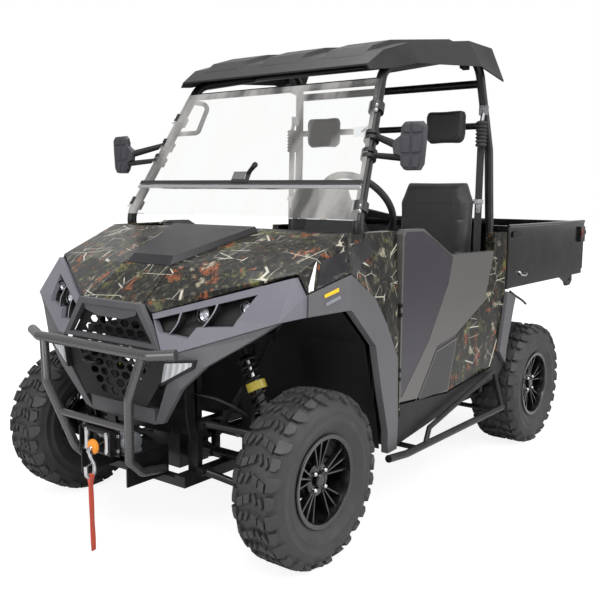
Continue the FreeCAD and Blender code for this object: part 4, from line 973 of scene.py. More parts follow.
def tyre_shape(half):
    """Carcass with beads, side ribs and all tread blocks, centred on its axle."""
    tip = TYRE_RADIUS
    bead = half - BEAD_TO_SIDEWALL
    side = [
        (tip - 0.0150, 0.0), (tip - 0.0152, half - 0.047), (tip - 0.020, half - 0.030),
        (tip - 0.031, half - 0.017), (tip - 0.046, half - 0.011), (0.258, half - 0.007),
        (0.2525, half - 0.0035), (0.2475, half - 0.0035), (0.243, half - 0.006), (0.222, half - 0.006),
        (0.218, half - 0.0035), (0.2145, half - 0.0045), (0.205, half - 0.009), (0.192, half - 0.015),
        (0.180, half - 0.021), (RIM_LIP_RADIUS + 0.006, bead + 0.0015), (RIM_LIP_RADIUS + 0.001, bead - 0.001),
        (BEAD_RADIUS + 0.001, bead - 0.001),
    ]
    profile = [(radius, across) for radius, across in side]
    profile += [(radius, -across) for radius, across in reversed(side[1:])]
    shape = Shape().turned(profile, (0, 0, 0), Y_AXIS, 96)
    line = crown_line(half)
    crown = half - CROWN_TO_SIDEWALL
    for pitch in range(TYRE_PITCHES):
        for way in (1, -1):
            first = pitch + (0.5 if way < 0 else 0.0)
            for corners in CROWN_LUGS:
                lug(shape, [(across * crown, share) for across, share in corners], line, way, first, 0.0145)
            for corners in SHOULDER_LUGS:
                lug(shape, [(crown + across, share) for across, share in corners], line, way, first, 0.012)
    return shape


class UTV_OT_tyres(bpy.types.Operator):
    """Builds the four knobbly tyres"""
    bl_idname = "utv.tyres"
    bl_label = "Tyres"

    def execute(self, context):
        for end, (_, _, half) in AXLES.items():
            shape = tyre_shape(half)
            for side in ("left", "right"):
                name = end + "_" + side
                made = wheel_piece("tread_", shape, tyre_rubber(), end, side, "tyre", bevel=0.0014, segments=1)
                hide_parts("tyre_" + name)
        return {"FINISHED"}


# Wheels

SPOKE_GROUPS = 5
BLADE_ANGLES = (-17.0, 0.0, 17.0)


def rim_shape(half):
    """Barrel, five groups of three blades, hub and brake disc of a left wheel, centred on its axle."""
    bead = half - BEAD_TO_SIDEWALL
    lip = bead + 0.0078
    inner = BEAD_RADIUS - 0.004
    face = bead - 0.020
    edge = RIM_LIP_RADIUS - 0.0005
    seat = BEAD_RADIUS - 0.0005
    barrel = [
        (seat, -bead), (edge, -bead - 0.001), (edge, -lip), (inner, -lip), (inner - 0.006, -bead * 0.5),
        (inner - 0.006, bead * 0.4), (inner - 0.001, bead - 0.012), (inner + 0.003, lip - 0.003),
        (RIM_LIP_RADIUS - 0.004, lip), (edge, lip - 0.003), (edge, bead + 0.001), (seat, bead),
    ]
    shape = Shape().turned(barrel, (0, 0, 0), Y_AXIS, 96)
    for group in range(SPOKE_GROUPS):
        for lean in BLADE_ANGLES:
            base = math.radians(360 / SPOKE_GROUPS * group + lean * 0.45)
            tip = math.radians(360 / SPOKE_GROUPS * group + lean)
            near = Vector((math.sin(base) * 0.044, 0, math.cos(base) * 0.044))
            far = Vector((math.sin(tip) * (inner + 0.001), 0, math.cos(tip) * (inner + 0.001)))
            across = (far - near).cross(Y_AXIS).normalized()
            wide, narrow = (0.0075, 0.0055) if lean else (0.0085, 0.0045)
            blade = []
            for size, near_y, far_y in ((1.0, face - 0.030, face - 0.016), (0.5, face - 0.006, face + 0.006)):
                low, high = near + Y_AXIS * near_y, far + Y_AXIS * far_y
                narrow_half, wide_half = across * narrow * size, across * wide * size
                blade.append([low - narrow_half, high - wide_half, high + wide_half, low + narrow_half])
            shape.rings(blade)
    centre_y = AXLES["front"][1] if half < 0.11 else AXLES["rear"][1]
    back = KINGPIN_Y + 0.049 - centre_y
    hub = [(0.017, back), (0.045, back), (0.045, face - 0.034), (0.062, face - 0.030), (0.060, face - 0.012),
           (0.050, face - 0.008), (0.033, face - 0.010), (0.030, face - 0.020), (0.017, face - 0.020)]
    shape.turned(hub, (0, 0, 0), Y_AXIS, 40)
    disc = [(0.046, back + 0.001), (0.086, back + 0.001), (0.086, back + 0.005), (0.046, back + 0.005)]
    shape.turned(disc, (0, 0, 0), Y_AXIS, 48)
    return shape, face


def cap_shape(face):
    """Eight-sided centre cap with a stepped face."""
    outline = [(0.0001, face - 0.018), (0.026, face - 0.018), (0.026, face + 0.002), (0.021, face + 0.006),
               (0.019, face + 0.004), (0.0001, face + 0.004)]
    return Shape().turned(outline, (0, 0, 0), Y_AXIS, 8, math.pi / 8)


def nut_shape(face):
    """Four domed wheel nuts."""
    shape = Shape()
    profile = [(0.0001, face - 0.012), (0.009, face - 0.012), (0.009, face), (0.0065, face + 0.005),
               (0.003, face + 0.007), (0.0001, face + 0.0072)]
    for number in range(4):
        angle = math.radians(45 + 90 * number)
        shape.turned(profile, (math.sin(angle) * 0.042, 0, math.cos(angle) * 0.042), Y_AXIS, 12)
    return shape


class UTV_OT_wheels(bpy.types.Operator):
    """Builds the four spoked wheels with caps and nuts"""
    bl_idname = "utv.wheels"
    bl_label = "Wheels"

    def execute(self, context):
        for end, (_, _, half) in AXLES.items():
            rim, face = rim_shape(half)
            for side in ("left", "right"):
                name = end + "_" + side
                made = wheel_piece("spokes_", rim, gloss_black(), end, side, "rim", bevel=0.0012)
                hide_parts("rim_" + name)
                wheel_piece("cap_", cap_shape(face), gloss_black(), end, side, "rim", bevel=0.0008)
                wheel_piece("nuts_", nut_shape(face), bright_steel(), end, side, "rim")
        return {"FINISHED"}


# Body panels

class UTV_OT_body_panels(bpy.types.Operator):
    """Gives the CAD nodes that are seen their finishes"""
    bl_idname = "utv.body_panels"
    bl_label = "Body panels"

    def execute(self, context):
        dress(camouflage(), "hood", "front_fenders", "rear_quarters")
        dress(scoop_plastic(), "hood_scoop")
        dress(trim_plastic(), "arch_trims")
        dress(fascia_plastic(), "front_fascia")
        dress(frame_grey_plastic(), "lower_bumper")
        dress(grille_plastic(), "grille")
        dress(door_rear_skin(), "door_left", "door_right")
        dress(black_plastic(), "roof", "dashboard", "sill_panels", "arch_liners", "floor_tub", "side_mirrors",
              "headlamps", "steering_wheel")
        dress(powder_black(), "roll_cage", "side_steps", "chassis_frame", "shock_towers", "suspension_arms",
              "steering_gear", "drive_shafts", "shock_absorbers")
        dress(gunmetal(), "brush_guard")
        dress(gloss_black(), "cargo_bed", "tailgate", "tail_lamps")
        dress(cast_iron(), "knuckle_front_left", "knuckle_front_right", "rear_knuckles")
        dress(cast_alloy(), "engine_block")
        dress(satin_steel(), "steering_rack")
        dress(exhaust_steel(), "exhaust")
        dress(winch_grey(), "winch")
        dress(bright_steel(), "fairlead")
        dress(clear_pane(), "windscreen")
        dress(rail_alloy(), "windscreen_rails")
        dress(belt_webbing(), "seat_belts")
        dress(red_webbing(), "winch_strap")
        dress(seat_vinyl(), "seats")
        return {"FINISHED"}


# Front end

# Corners of the face round the lamps, and (y, z) outlines on it and (y, z, radius) of lamps, in millimetres
LAMP_FACE = (mm(1428, 192, 896.4), mm(1198, 640, 1034.4), mm(1296, 652, 893), mm(1438, 330, 778))
RECESS = ((206, 878), (540, 976), (500, 872), (372, 862), (350, 824), (240, 836))
LAMPS = ((505, 928, 27), (366, 898, 31))
LAMP_DEPTH = 0.026
FIN_BOW = 9
FINS = (((296, 905), (301, 906), (282, 834), (277, 833)), ((412, 940), (417, 941), (397, 865), (392, 865)))


def fascia_x(y, z):
    """X of the slanted face round the left lamps."""
    a, b, d, e = LAMP_FACE
    edge = a.z + (d.z - a.z) * (y - a.y) / (d.y - a.y)
    second, third = (b, d) if z > edge else (d, e)
    normal = (second - a).cross(third - a)
    return a.x - (normal.y * (y - a.y) + normal.z * (z - a.z)) / normal.x


def behind_fascia(y, z, depth):
    """A point at a depth behind the face, with y and z in millimetres."""
    y, z = y / 1000, z / 1000
    return Vector((fascia_x(y, z) - depth, y, z))


def middle_of(outline):
    """The mean of an outline's corners."""
    return [sum(values) / len(outline) for values in zip(*outline)]


def lamp_tray():
    """Closed dark tray behind the recess."""
    middle_y, middle_z = middle_of(RECESS)
    rings = []
    for depth, size in ((0.0243, 1.09), (0.044, 1.07), (0.048, 1.0)):
        rings.append([behind_fascia(middle_y + (y - middle_y) * size, middle_z + (z - middle_z) * size, depth)
                      for y, z in RECESS])
    return Shape().rings(rings, caps=(False, True))


def lamp_fins(face, back):
    """Two bowed blades that divide the recess, between two depths behind the face."""
    shape = Shape()
    steps = 6
    for corners in FINS:
        (y0, z0), (y1, z1), (y2, z2), (y3, z3) = corners
        line = []
        for step in range(steps + 1):
            share = step / steps
            bow = FIN_BOW * math.sin(math.pi * share)
            line.append(((y0 + (y3 - y0) * share + bow, z0 + (z3 - z0) * share),
                         (y1 + (y2 - y1) * share + bow, z1 + (z2 - z1) * share)))
        for (a, b), (d, c) in zip(line, line[1:]):
            shape.rings([[behind_fascia(y, z, depth) for y, z in (a, b, c, d)] for depth in (face, back)])
    return shape


def at_lamps(smaller, outline):
    """A turned outline in both lamps, made for each lamp's radius less some millimetres."""
    shape = Shape()
    for y, z, radius in LAMPS:
        shape.turned(outline((radius - smaller) / 1000), behind_fascia(y, z, LAMP_DEPTH), X_AXIS, 40)
    return shape


def lamp_cups():
    """Bezel and cup of each lamp."""
    return at_lamps(0, lambda r: [(0.0001, -0.020), (r, -0.020), (r, 0.001), (r - 0.002, 0.003),
                                  (r - 0.005, 0.001), (r - 0.006, -0.008), (r * 0.5, -0.016), (0.0001, -0.017)])


def lamp_bowls():
    """Bright bowl and bulb cap inside each lamp."""
    return at_lamps(6.5, lambda r: [(0.0001, -0.0155), (r * 0.5, -0.0150), (r, -0.0070), (r, -0.0060),
                                    (r * 0.52, -0.0135), (r * 0.40, -0.0090), (0.0001, -0.0080)])


def lamp_domes():
    """Domed lens of each lamp."""
    turns = [math.radians(15 * step) for step in range(1, 7)]
    return at_lamps(7.5, lambda r: [(0.0001, 0.0)] + [(r * math.sin(turn), 0.006 * math.cos(turn) - 0.006)
                                                     for turn in turns] + [(0.0001, -0.0075)])


def lower_lens():
    """Silver lens beside the grille, low in the bumper."""
    front = [mm(1457, 280, 735), mm(1433, 391, 749), mm(1433, 387, 735), mm(1457, 263, 664)]
    return Shape().prism(front, (-0.024, 0, 0))


def lens_frame():
    """Black edge round the lower lens."""
    front = [mm(1455, 273, 743), mm(1430, 401, 758), mm(1430, 395, 729), mm(1455, 256, 650)]
    return Shape().prism(front, (-0.030, 0, 0))


def tow_loop():
    """Bent bar loop at the foot of the grille."""
    path = [mm(1428, -154, 700), mm(1450, -154, 700), mm(1462, -148, 696), mm(1466, -126, 692),
            mm(1462, -104, 688), mm(1450, -98, 686), mm(1428, -98, 686)]
    return Shape().swept(path, 0.0065, 12)


def bolt_row(places, axis, radius, height):
    """Hexagon bolts, with places in millimetres."""
    shape = Shape()
    for place in places:
        hex_bolt(shape, mm(*place), axis, radius, height)
    return shape


def front_brace():
    """Bent upright plate between the bumper's foot and the frame, black sheets and a hose beside it."""
    side = [(1300, 690), (1330, 690), (1345, 600), (1340, 520), (1322, 430), (1290, 430), (1296, 520),
            (1300, 600)]
    shape = Shape().prism(side_view(side, 262), (0, 0.006, 0))
    shape.prism(front_view([(150, 440), (268, 440), (268, 700), (150, 700)], 1300), (0.003, 0, 0))
    shape.prism(front_view([(0, 425), (152, 425), (152, 585), (0, 585)], 1300), (0.0026, 0, 0))
    hose = [mm(1300, 268, 600), mm(1296, 300, 598), mm(1270, 345, 586), mm(1225, 390, 556), mm(1190, 425, 520)]
    return shape.swept(hose, 0.0055, 10)


class UTV_OT_front_end(bpy.types.Operator):
    """Builds the lamps with their trays and fins, the lower lenses and the grille's fittings"""
    bl_idname = "utv.front_end"
    bl_label = "Front end"

    def execute(self, context):
        both_sides("lamp_tray", lamp_tray(), black_plastic(), "chassis", "headlamps", thick=0.002, smooth=False)
        both_sides("lamp_fins", lamp_fins(0.0012, 0.042), black_plastic(), "chassis", "front_fascia")
        # The fins' bright grey front edges are a painted highlight.
        both_sides("fin_edge_highlights", lamp_fins(-0.0015, 0.0012), fin_plastic(), "chassis", "front_fascia",
                   bevel=0.0008)
        both_sides("lamp_cups", lamp_cups(), gloss_black(), "chassis", "headlamps")
        both_sides("lamp_bowls", lamp_bowls(), bright_steel(), "chassis", "headlamps")
        both_sides("lamp_domes", lamp_domes(), lamp_glass(), "chassis", "headlamps")
        both_sides("lower_lens", lower_lens(), lamp_silver(), "chassis", "lower_bumper", bevel=0.003)
        both_sides("lens_frame", lens_frame(), black_plastic(), "chassis", "lower_bumper", bevel=0.003)
        piece("tow_loop", tow_loop(), powder_black(), "chassis", "brush_guard")
        both_sides("front_brace", front_brace(), powder_black(), "chassis", "chassis_frame", bevel=0.001)
        return {"FINISHED"}


# Sides

# Marks on the fender: (x, z) outline in millimetres, finish, node that carries it, and lift off it
FENDER_MARKS = {
    "decal_panel": (((1058, 1083), (757, 1156), (764, 1093), (935, 1019), (1128, 990)),
                    black_decal, "front_fenders", 0.0012),
    "decal_slash": (((1076, 1086), (1096, 1070), (1170, 987), (1142, 990)),
                    white_decal, "front_fenders", 0.0022),
    "reflector": (((1098, 973), (1024, 992), (1023, 978), (1096, 961)), amber_lens, "arch_trims", 0.0022),
    "trim_slot": (((1090, 944), (1016, 964), (1014, 952), (1090, 932)), fin_plastic, "arch_trims", 0.0012),
}

# Inlays of the door: (x, z) outline and Y in millimetres, thickness, finish, and rounding of the edges
DOOR_INLAYS = {
    "door_front": (((558, 509), (558, 1150), (541, 1165), (413, 1164), (342, 1139), (144, 1044), (177, 931),
                    (339, 703), (547, 509)), 685, 0.0035, door_skin, 0.0012),
    "door_low": (((92, 671), (259, 645), (411, 465), (158, 460), (93, 655)),
                 688, 0.0035, door_low_skin, 0.0012),
    "door_slot": (((80, 698), (262, 670), (432, 464), (423, 464), (264, 654), (85, 684)),
                  683, 0.004, door_skin, 0.0008),
}


class UTV_OT_sides(bpy.types.Operator):
    """Builds the fender's printed panel, slash and reflector, and the door's inlays"""
    bl_idname = "utv.sides"
    bl_label = "Sides"

    def execute(self, context):
        for name, (outline, finish, carrier, lift) in FENDER_MARKS.items():
            skin = laid_on(carrier, side_view(outline, 760), (0, -1, 0), lift)
            both_sides(name, skin, finish(), "chassis", carrier, thick=0.0012, smooth=False)
        for name, (outline, y, thickness, finish, bevel) in DOOR_INLAYS.items():
            inlay = Shape().prism(side_view(outline, y), (0, thickness, 0))
            both_sides(name, inlay, finish(), ("door_left", "door_right"), "door", bevel=bevel)
        return {"FINISHED"}


# Mirrors, screen fittings and steering wheel

MIRROR_PANELS = (
    ((764, 1538), (766, 1570), (796, 1574), (796, 1536)),
    ((802, 1536), (802, 1574), (838, 1572), (846, 1556), (844, 1536)),
    ((756, 1466), (758, 1528), (796, 1530), (796, 1462)),
    ((802, 1462), (802, 1530), (844, 1530), (840, 1466)),
    ((764, 1414), (760, 1456), (796, 1456), (796, 1410)),
    ((802, 1410), (802, 1456), (838, 1458), (834, 1424), (826, 1410)),
)


def mirror_shell():
    """Mirror housing with raised panels on its back."""
    outline = [(752, 1420), (750, 1452), (720, 1462), (714, 1500), (724, 1516), (750, 1532), (754, 1566),
               (770, 1581), (838, 1579), (855, 1560), (853, 1500), (846, 1424), (832, 1402), (768, 1402)]
    shape = Shape().prism(front_view(outline, 694), (0.022, 0, 0), 0.004)
    for panel in MIRROR_PANELS:
        shape.prism(front_view(panel, 715), (0.006, 0, 0), 0.003)
    return shape


def mirror_arm():
    """Two clamps on the pillar and the arms out to the mirror."""
    upper, lower = pillar_at(1.533), pillar_at(1.462)
    along = (pillar_at(1.6) - upper).normalized()
    clamp = [(0.0212, -0.0085), (0.031, -0.0085), (0.031, 0.0085), (0.0212, 0.0085)]
    shape = Shape()
    for at in (upper, lower):
        for shift in (-0.012, 0.012):
            shape.turned(clamp, at + along * shift, along, 28)
    shape.bar(lower + Vector((0.004, 0.028, 0.0)), mm(702, 760, 1448), 0.011, 14, 0.013)
    return shape.bar(upper + Vector((0.004, 0.030, 0.0)), mm(700, 738, 1492), 0.0125, 14, 0.016)


def mirror_glass():
    """Mirror face towards the driver."""
    outline = [(749, 1430), (749, 1552), (766, 1572), (831, 1572), (848, 1550), (843, 1430), (830, 1411),
               (770, 1411)]
    return Shape().prism(front_view(outline, 693), (0.002, 0, 0))


def screen_bolts():
    """Bolts of the pillar clamps."""
    shape = Shape()
    for z in (1.262, 1.650):
        at = pillar_at(z)
        along = (pillar_at(z + 0.1) - at).normalized()
        outward = Vector((0.75, 0.45, 0)).normalized()
        for shift in (-0.011, 0.011):
            hex_bolt(shape, at + along * shift + outward * 0.031, outward, 0.0055, 0.006)
    return shape


def ahead_of(low, high):
    """The direction straight out of the screen's face between two points."""
    return Vector((high.z - low.z, 0, low.x - high.x)).normalized()


def latch_plate():
    """Grey plate over the middle latch."""
    low, high = pillar_at(1.352), pillar_at(1.384)
    forward = ahead_of(low, high)
    corners = [Vector((at.x, y, at.z))
               for at, y in ((low, -0.046), (low, 0.030), (high, 0.030), (high, -0.046))]
    return Shape().prism([corner + forward * 0.0365 for corner in corners], forward * 0.003, 0.002)


def inner_mirror():
    """Small mirror on its arm beside the left pillar."""
    at = pillar_at(1.60) + Vector((-0.020, -0.010, 0))
    end = at + Vector((-0.035, -0.085, -0.035))
    shape = Shape().bar(at, end, 0.005, 10)
    outline = [(-36, -20), (36, -20), (40, -14), (40, 14), (34, 20), (-34, 20), (-40, 14), (-40, -14)]
    return shape.prism([end + point for point in front_view(outline, 0)], (-0.010, 0, 0), 0.003)


def latch_handle():
    """Turned handle and screws of the middle latch."""
    low, high = pillar_at(1.340), pillar_at(1.386)
    forward = ahead_of(low, high)
    face = Vector((high.x, 0, high.z)) + forward * 0.040
    screw = [(0.0001, 0), (0.007, 0), (0.006, 0.004), (0.0001, 0.005)]
    knob = [(0.0001, -0.004), (0.013, -0.004), (0.014, 0.004), (0.010, 0.008), (0.0001, 0.008)]
    shape = Shape()
    for y in (-0.034, 0.020):
        shape.turned(screw, face + Vector((0, y, -0.014)), forward, 16)
    end = face + Vector((0, 0.072, 0.018)) + forward * 0.006
    shape.bar(face + Vector((0, 0.034, -0.010)), end, 0.0085, 14, 0.0105)
    return shape.turned(knob, face + Vector((0, 0.075, 0.022)) + forward * 0.004, forward, 20)


def wheel_rim_shape():
    """Steering wheel rim with three spokes and a hub pad."""
    up = Vector((0.6, 0, 0.8))

    def outward(turn):
        return Y_AXIS * math.cos(turn) + up * math.sin(turn)

    ring = [WHEEL_CENTRE + outward(2 * math.pi * step / 96) * 0.170 for step in range(96)]
    shape = Shape().swept(ring, 0.0148, 14, closed=True)
    for angle in (-15, 195, 270):
        direction = outward(math.radians(angle))
        across = direction.cross(COLUMN_DIRECTION).normalized()
        near = WHEEL_CENTRE + COLUMN_DIRECTION * 0.010 + direction * 0.020
        far = WHEEL_CENTRE + direction * 0.166
        outline = [near - across * 0.022, far - across * 0.013, far + across * 0.013, near + across * 0.022]
        shape.prism(outline, COLUMN_DIRECTION * 0.008)
    hub = [(0.0001, -0.012), (0.034, -0.010), (0.042, 0.0), (0.042, 0.036), (0.020, 0.044), (0.020, 0.080),
           (0.0098, 0.082), (0.0098, 0.150), (0.0001, 0.150)]
    return shape.turned(hub, WHEEL_CENTRE, COLUMN_DIRECTION, 40)


class UTV_OT_cab_fittings(bpy.types.Operator):
    """Builds the mirrors, the screen's bolts, latch plate and handle, and the steering wheel"""
    bl_idname = "utv.cab_fittings"
    bl_label = "Cab fittings"

    def execute(self, context):
        shells = both_sides("mirror_shell", mirror_shell(), mirror_plastic(), "chassis", "side_mirrors",
                            bevel=0.003, segments=3)
        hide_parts("side_mirrors")
        both_sides("mirror_arm", mirror_arm(), black_plastic(), "chassis", "side_mirrors", bevel=0.0015)
        both_sides("mirror_glass", mirror_glass(), mirror_silver(), "chassis", "side_mirrors", bevel=0.0006)
        both_sides("screen_bolts", screen_bolts(), bright_steel(), "chassis", "windscreen_rails")
        piece("latch_handle", latch_handle(), black_plastic(), "chassis", "windscreen_rails", bevel=0.001)
        piece("latch_plate", latch_plate(), satin_steel(), "chassis", "windscreen_rails", bevel=0.0008)
        piece("inner_mirror", inner_mirror(), mirror_silver(), "chassis", "side_mirrors", bevel=0.001)
        rim = piece("wheel_rim", wheel_rim_shape(), bellows_rubber(), "steering_wheel", "steering_wheel",
                    bevel=0.0015)
        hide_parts("steering_wheel")
        return {"FINISHED"}


# Winch

DRUM = mm(1462, 0, 428.3)
ROPE_Y, ROPE_Z = 0.010, 0.412
FAIRLEAD_Z = 0.427
HOOK = mm(1567, 10, 303)


def winch_body():
    """Motor, gear housing, tie bars and feet."""
    shape = Shape()
    motor = [(0.0001, -0.140), (0.031, -0.140), (0.035, -0.136), (0.036, -0.130), (0.036, -0.058),
             (0.0385, -0.056), (0.0385, -0.050), (0.0001, -0.050)]
    gear = [(0.0001, 0.050), (0.0385, 0.050), (0.0385, 0.056), (0.037, 0.058), (0.037, 0.122), (0.033, 0.130),
            (0.022, 0.134), (0.0001, 0.136)]
    shape.turned(motor, DRUM, Y_AXIS, 40)
    shape.turned(gear, DRUM, Y_AXIS, 40)
    for x, z in ((0.026, 0.026), (-0.026, 0.026)):
        shape.bar(DRUM + Vector((x, -0.052, z)), DRUM + Vector((x, 0.052, z)), 0.0045, 10)
    for y0, y1 in ((-0.136, -0.054), (0.054, 0.132)):
        shape.block((1.432, y0, 0.3903), (1.492, y1, 0.4043))
    return shape


def wound_rope():
    """Rope wound on the drum in one layer, with its end run out to the stopper."""
    shape = Shape()
    turns = 9
    path = []
    for step in range(turns * 20 + 1):
        angle = 2 * math.pi * step / 20
        y = -0.045 + 0.090 * step / (turns * 20)
        path.append(DRUM + Vector((math.cos(angle) * 0.0206, y, math.sin(angle) * 0.0206)))
    shape.swept(path, 0.0052, 8)
    end = [Vector((1.470, ROPE_Y, ROPE_Z + 0.010)), Vector((1.500, ROPE_Y, ROPE_Z + 0.004)),
           Vector((1.546, ROPE_Y, ROPE_Z))]
    return shape.swept(end, 0.005, 10)


def fairlead_frame():
    """Plate and side cheeks of the fairlead."""
    shape = Shape()
    low, high = FAIRLEAD_Z - 0.051, FAIRLEAD_Z + 0.051
    shape.block((1.5003, -0.096, low), (1.507, -0.052, high))
    shape.block((1.5003, 0.052, low), (1.507, 0.096, high))
    for z0, z1 in ((low, FAIRLEAD_Z - 0.026), (FAIRLEAD_Z + 0.026, high)):
        shape.block((1.5003, -0.052, z0), (1.507, 0.052, z1))
    for y0, y1 in ((-0.086, -0.080), (0.080, 0.086)):
        shape.block((1.506, y0, low + 0.008), (1.540, y1, high - 0.008))
    return shape


def fairlead_rollers():
    """Two upright rollers with a waist."""
    shape = Shape()
    half = 0.040
    upright = [(0.0001, -half), (0.0095, -half), (0.011, -half + 0.006), (0.0102, 0), (0.011, half - 0.006),
               (0.0095, half), (0.0001, half)]
    for y in (-0.056, 0.056):
        shape.turned(upright, (1.526, y, FAIRLEAD_Z), Z_AXIS, 24)
    return shape


def lying_rollers():
    """Upper and lower roller of the fairlead."""
    shape = Shape()
    for z in (-0.037, 0.037):
        shape.turned([(0.0001, -0.079), (0.010, -0.079), (0.010, 0.079), (0.0001, 0.079)],
                     (1.524, 0, FAIRLEAD_Z + z), Y_AXIS, 24)
    return shape


def rope_stopper():
    """Two-part round stopper on the rope."""
    profile = [(0.0055, -0.008), (0.022, -0.008), (0.027, -0.004), (0.028, 0.001), (0.025, 0.007),
               (0.012, 0.009), (0.0055, 0.011)]
    return Shape().turned(profile, (1.552, ROPE_Y, ROPE_Z), X_AXIS, 36)


def tow_hook():
    """Forged hook with its latch."""
    side = [(-8, 109), (-1, 100), (1, 86), (-6, 68), (-14, 54), (-19, 38), (-19, 20), (-16, 8), (-9, 1.5),
            (2, 0), (12, 3), (18, 11), (19.5, 24), (19.5, 44)]
    shape = Shape().swept([HOOK + mm(x, 0, z) for x, z in side], 0.0076, 14)
    shape.turned([(0.0001, -0.010), (0.011, -0.009), (0.013, 0), (0.011, 0.009), (0.0001, 0.010)],
                 HOOK + mm(-2, 0, 96), Y_AXIS, 20)
    return shape.bar(HOOK + mm(19, 0, 41), HOOK + mm(-15, 0, 51), 0.0022, 8)


STRAP_ROUTE = (mm(1567, 10, 314), mm(1567, 10, 262), mm(1567, 11.5, 200), mm(1568, 14, 130), mm(1568.5, 17, 76),
               mm(1569, 19, 30))
STRAP_WIDTH = 0.0196
STRAP_STEPS = 28


def pull_strap():
    """Flat webbing that follows the route, doubled and sewn below the hook, and its middle line."""
    middle = []
    for step in range(STRAP_STEPS + 1):
        share = step / STRAP_STEPS * (len(STRAP_ROUTE) - 1)
        number = min(int(share), len(STRAP_ROUTE) - 2)
        middle.append(STRAP_ROUTE[number].lerp(STRAP_ROUTE[number + 1], share - number))
    rings = []
    for step, here in enumerate(middle):
        twist = math.radians(6 * math.sin(step * 0.5))
        doubled = max(0.0, 1 - abs(step - 1.2) / 2.6)
        side = Vector((math.cos(twist), math.sin(twist), 0)) * (STRAP_WIDTH / 2)
        face = Vector((-math.sin(twist), math.cos(twist), 0)) * (0.0026 + 0.0082 * doubled)
        rings.append([here + side + face, here - side + face, here - side - face, here + side - face])
    return Shape().rings(rings), middle


class UTV_OT_winch(bpy.types.Operator):
    """Builds the winch with its rope, fairlead, stopper, hook and pull strap"""
    bl_idname = "utv.winch"
    bl_label = "Winch"

    def execute(self, context):
        body = piece("winch_body", winch_body(), winch_grey(), "chassis", "winch", bevel=0.0015)
        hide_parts("winch")
        piece("wound_rope", wound_rope(), rope_steel(), "chassis", "winch")
        frame_piece = piece("fairlead_frame", fairlead_frame(), powder_black(), "chassis", "fairlead",
                            bevel=0.001)
        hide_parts("fairlead")
        piece("fairlead_rollers", fairlead_rollers(), bright_steel(), "chassis", "fairlead")
        piece("lying_rollers", lying_rollers(), powder_black(), "chassis", "fairlead")
        piece("rope_stopper", rope_stopper(), orange_stopper(), "chassis", "fairlead")
        piece("tow_hook", tow_hook(), bright_steel(), "chassis", "fairlead")
        places = [(1507, y, z) for y in (-91, 91) for z in (400, 454)]
        piece("fairlead_bolts", bolt_row(places, X_AXIS, 0.006, 0.006), bright_steel(), "chassis", "fairlead")
        shape, middle = pull_strap()
        strap = piece("pull_strap", shape, red_webbing(), "chassis", "winch_strap", bevel=0.0008)
        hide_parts("winch_strap")
        return {"FINISHED"}


# Shocks

def shock_line(axle_x):
    """Foot, direction and length of a left shock, with the axle's place in metres."""
    foot, head = (Vector((axle_x, y, z)) for y, z in (SHOCK_FOOT, SHOCK_HEAD))
    return foot, (head - foot).normalized(), (head - foot).length


def shock_spring(axle_x):
    """Coil spring, wound tighter at its ends."""
    foot, along, length = shock_line(axle_x)
    other = along.cross(X_AXIS)
    start, end = 0.052, length - 0.062
    path = []
    turns = 8
    for step in range(turns * 16 + 1):
        share = step / (turns * 16)
        eased = share - 0.035 * math.sin(2 * math.pi * share)
        angle = 2 * math.pi * turns * share
        out = X_AXIS * math.cos(angle) + other * math.sin(angle)
        path.append(foot + along * (start + (end - start) * eased) + out * 0.0285)
    return Shape().swept(path, 0.0052, 8)


def shock_body(axle_x):
    """Damper tube, spring seats and eyes."""
    foot, along, length = shock_line(axle_x)
    tube = [(0.0001, 0.010), (0.014, 0.010), (0.016, 0.040), (0.038, 0.040), (0.038, 0.047), (0.022, 0.050),
            (0.020, 0.060), (0.020, length - 0.130), (0.0001, length - 0.130)]
    top = [(0.0001, length - 0.060), (0.038, length - 0.060), (0.038, length - 0.052), (0.026, length - 0.040),
           (0.014, length - 0.038), (0.014, length - 0.004), (0.0001, length - 0.002)]
    shape = Shape().turned(tube, foot, along, 28).turned(top, foot, along, 28)
    return shape.block(tuple(foot + Vector((-0.014, -0.010, 0))), tuple(foot + Vector((0.014, 0.010, 0.022))))


def shock_collar(axle_x):
    """Yellow collar in the spring's middle."""
    foot, along, length = shock_line(axle_x)
    low, high = length * 0.50 - 0.016, length * 0.50 + 0.016
    profile = [(0.0205, low), (0.0375, low), (0.0375, high), (0.0205, high)]
    return Shape().turned(profile, foot, along, 28)


def shock_rod(axle_x):
    """Bright damper rod."""
    foot, along, length = shock_line(axle_x)
    return Shape().bar(foot + along * (length - 0.135), foot + along * (length - 0.058), 0.009, 16)


class UTV_OT_shocks(bpy.types.Operator):
    """Builds the four coil-over shocks"""
    bl_idname = "utv.shocks"
    bl_label = "Shocks"

    def execute(self, context):
        place = ("chassis", "shock_absorbers")
        for end, (axle_x, _, _) in AXLES.items():
            bodies = both_sides("shock_body_" + end, shock_body(axle_x), powder_black(), *place, bevel=0.001)
            if end == "front":
                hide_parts("shock_absorbers")
            both_sides("shock_spring_" + end, shock_spring(axle_x), powder_black(), *place)
            both_sides("shock_collar_" + end, shock_collar(axle_x), yellow_paint(), *place)
            both_sides("shock_rod_" + end, shock_rod(axle_x), bright_steel(), *place)
        return {"FINISHED"}


# Cargo bed

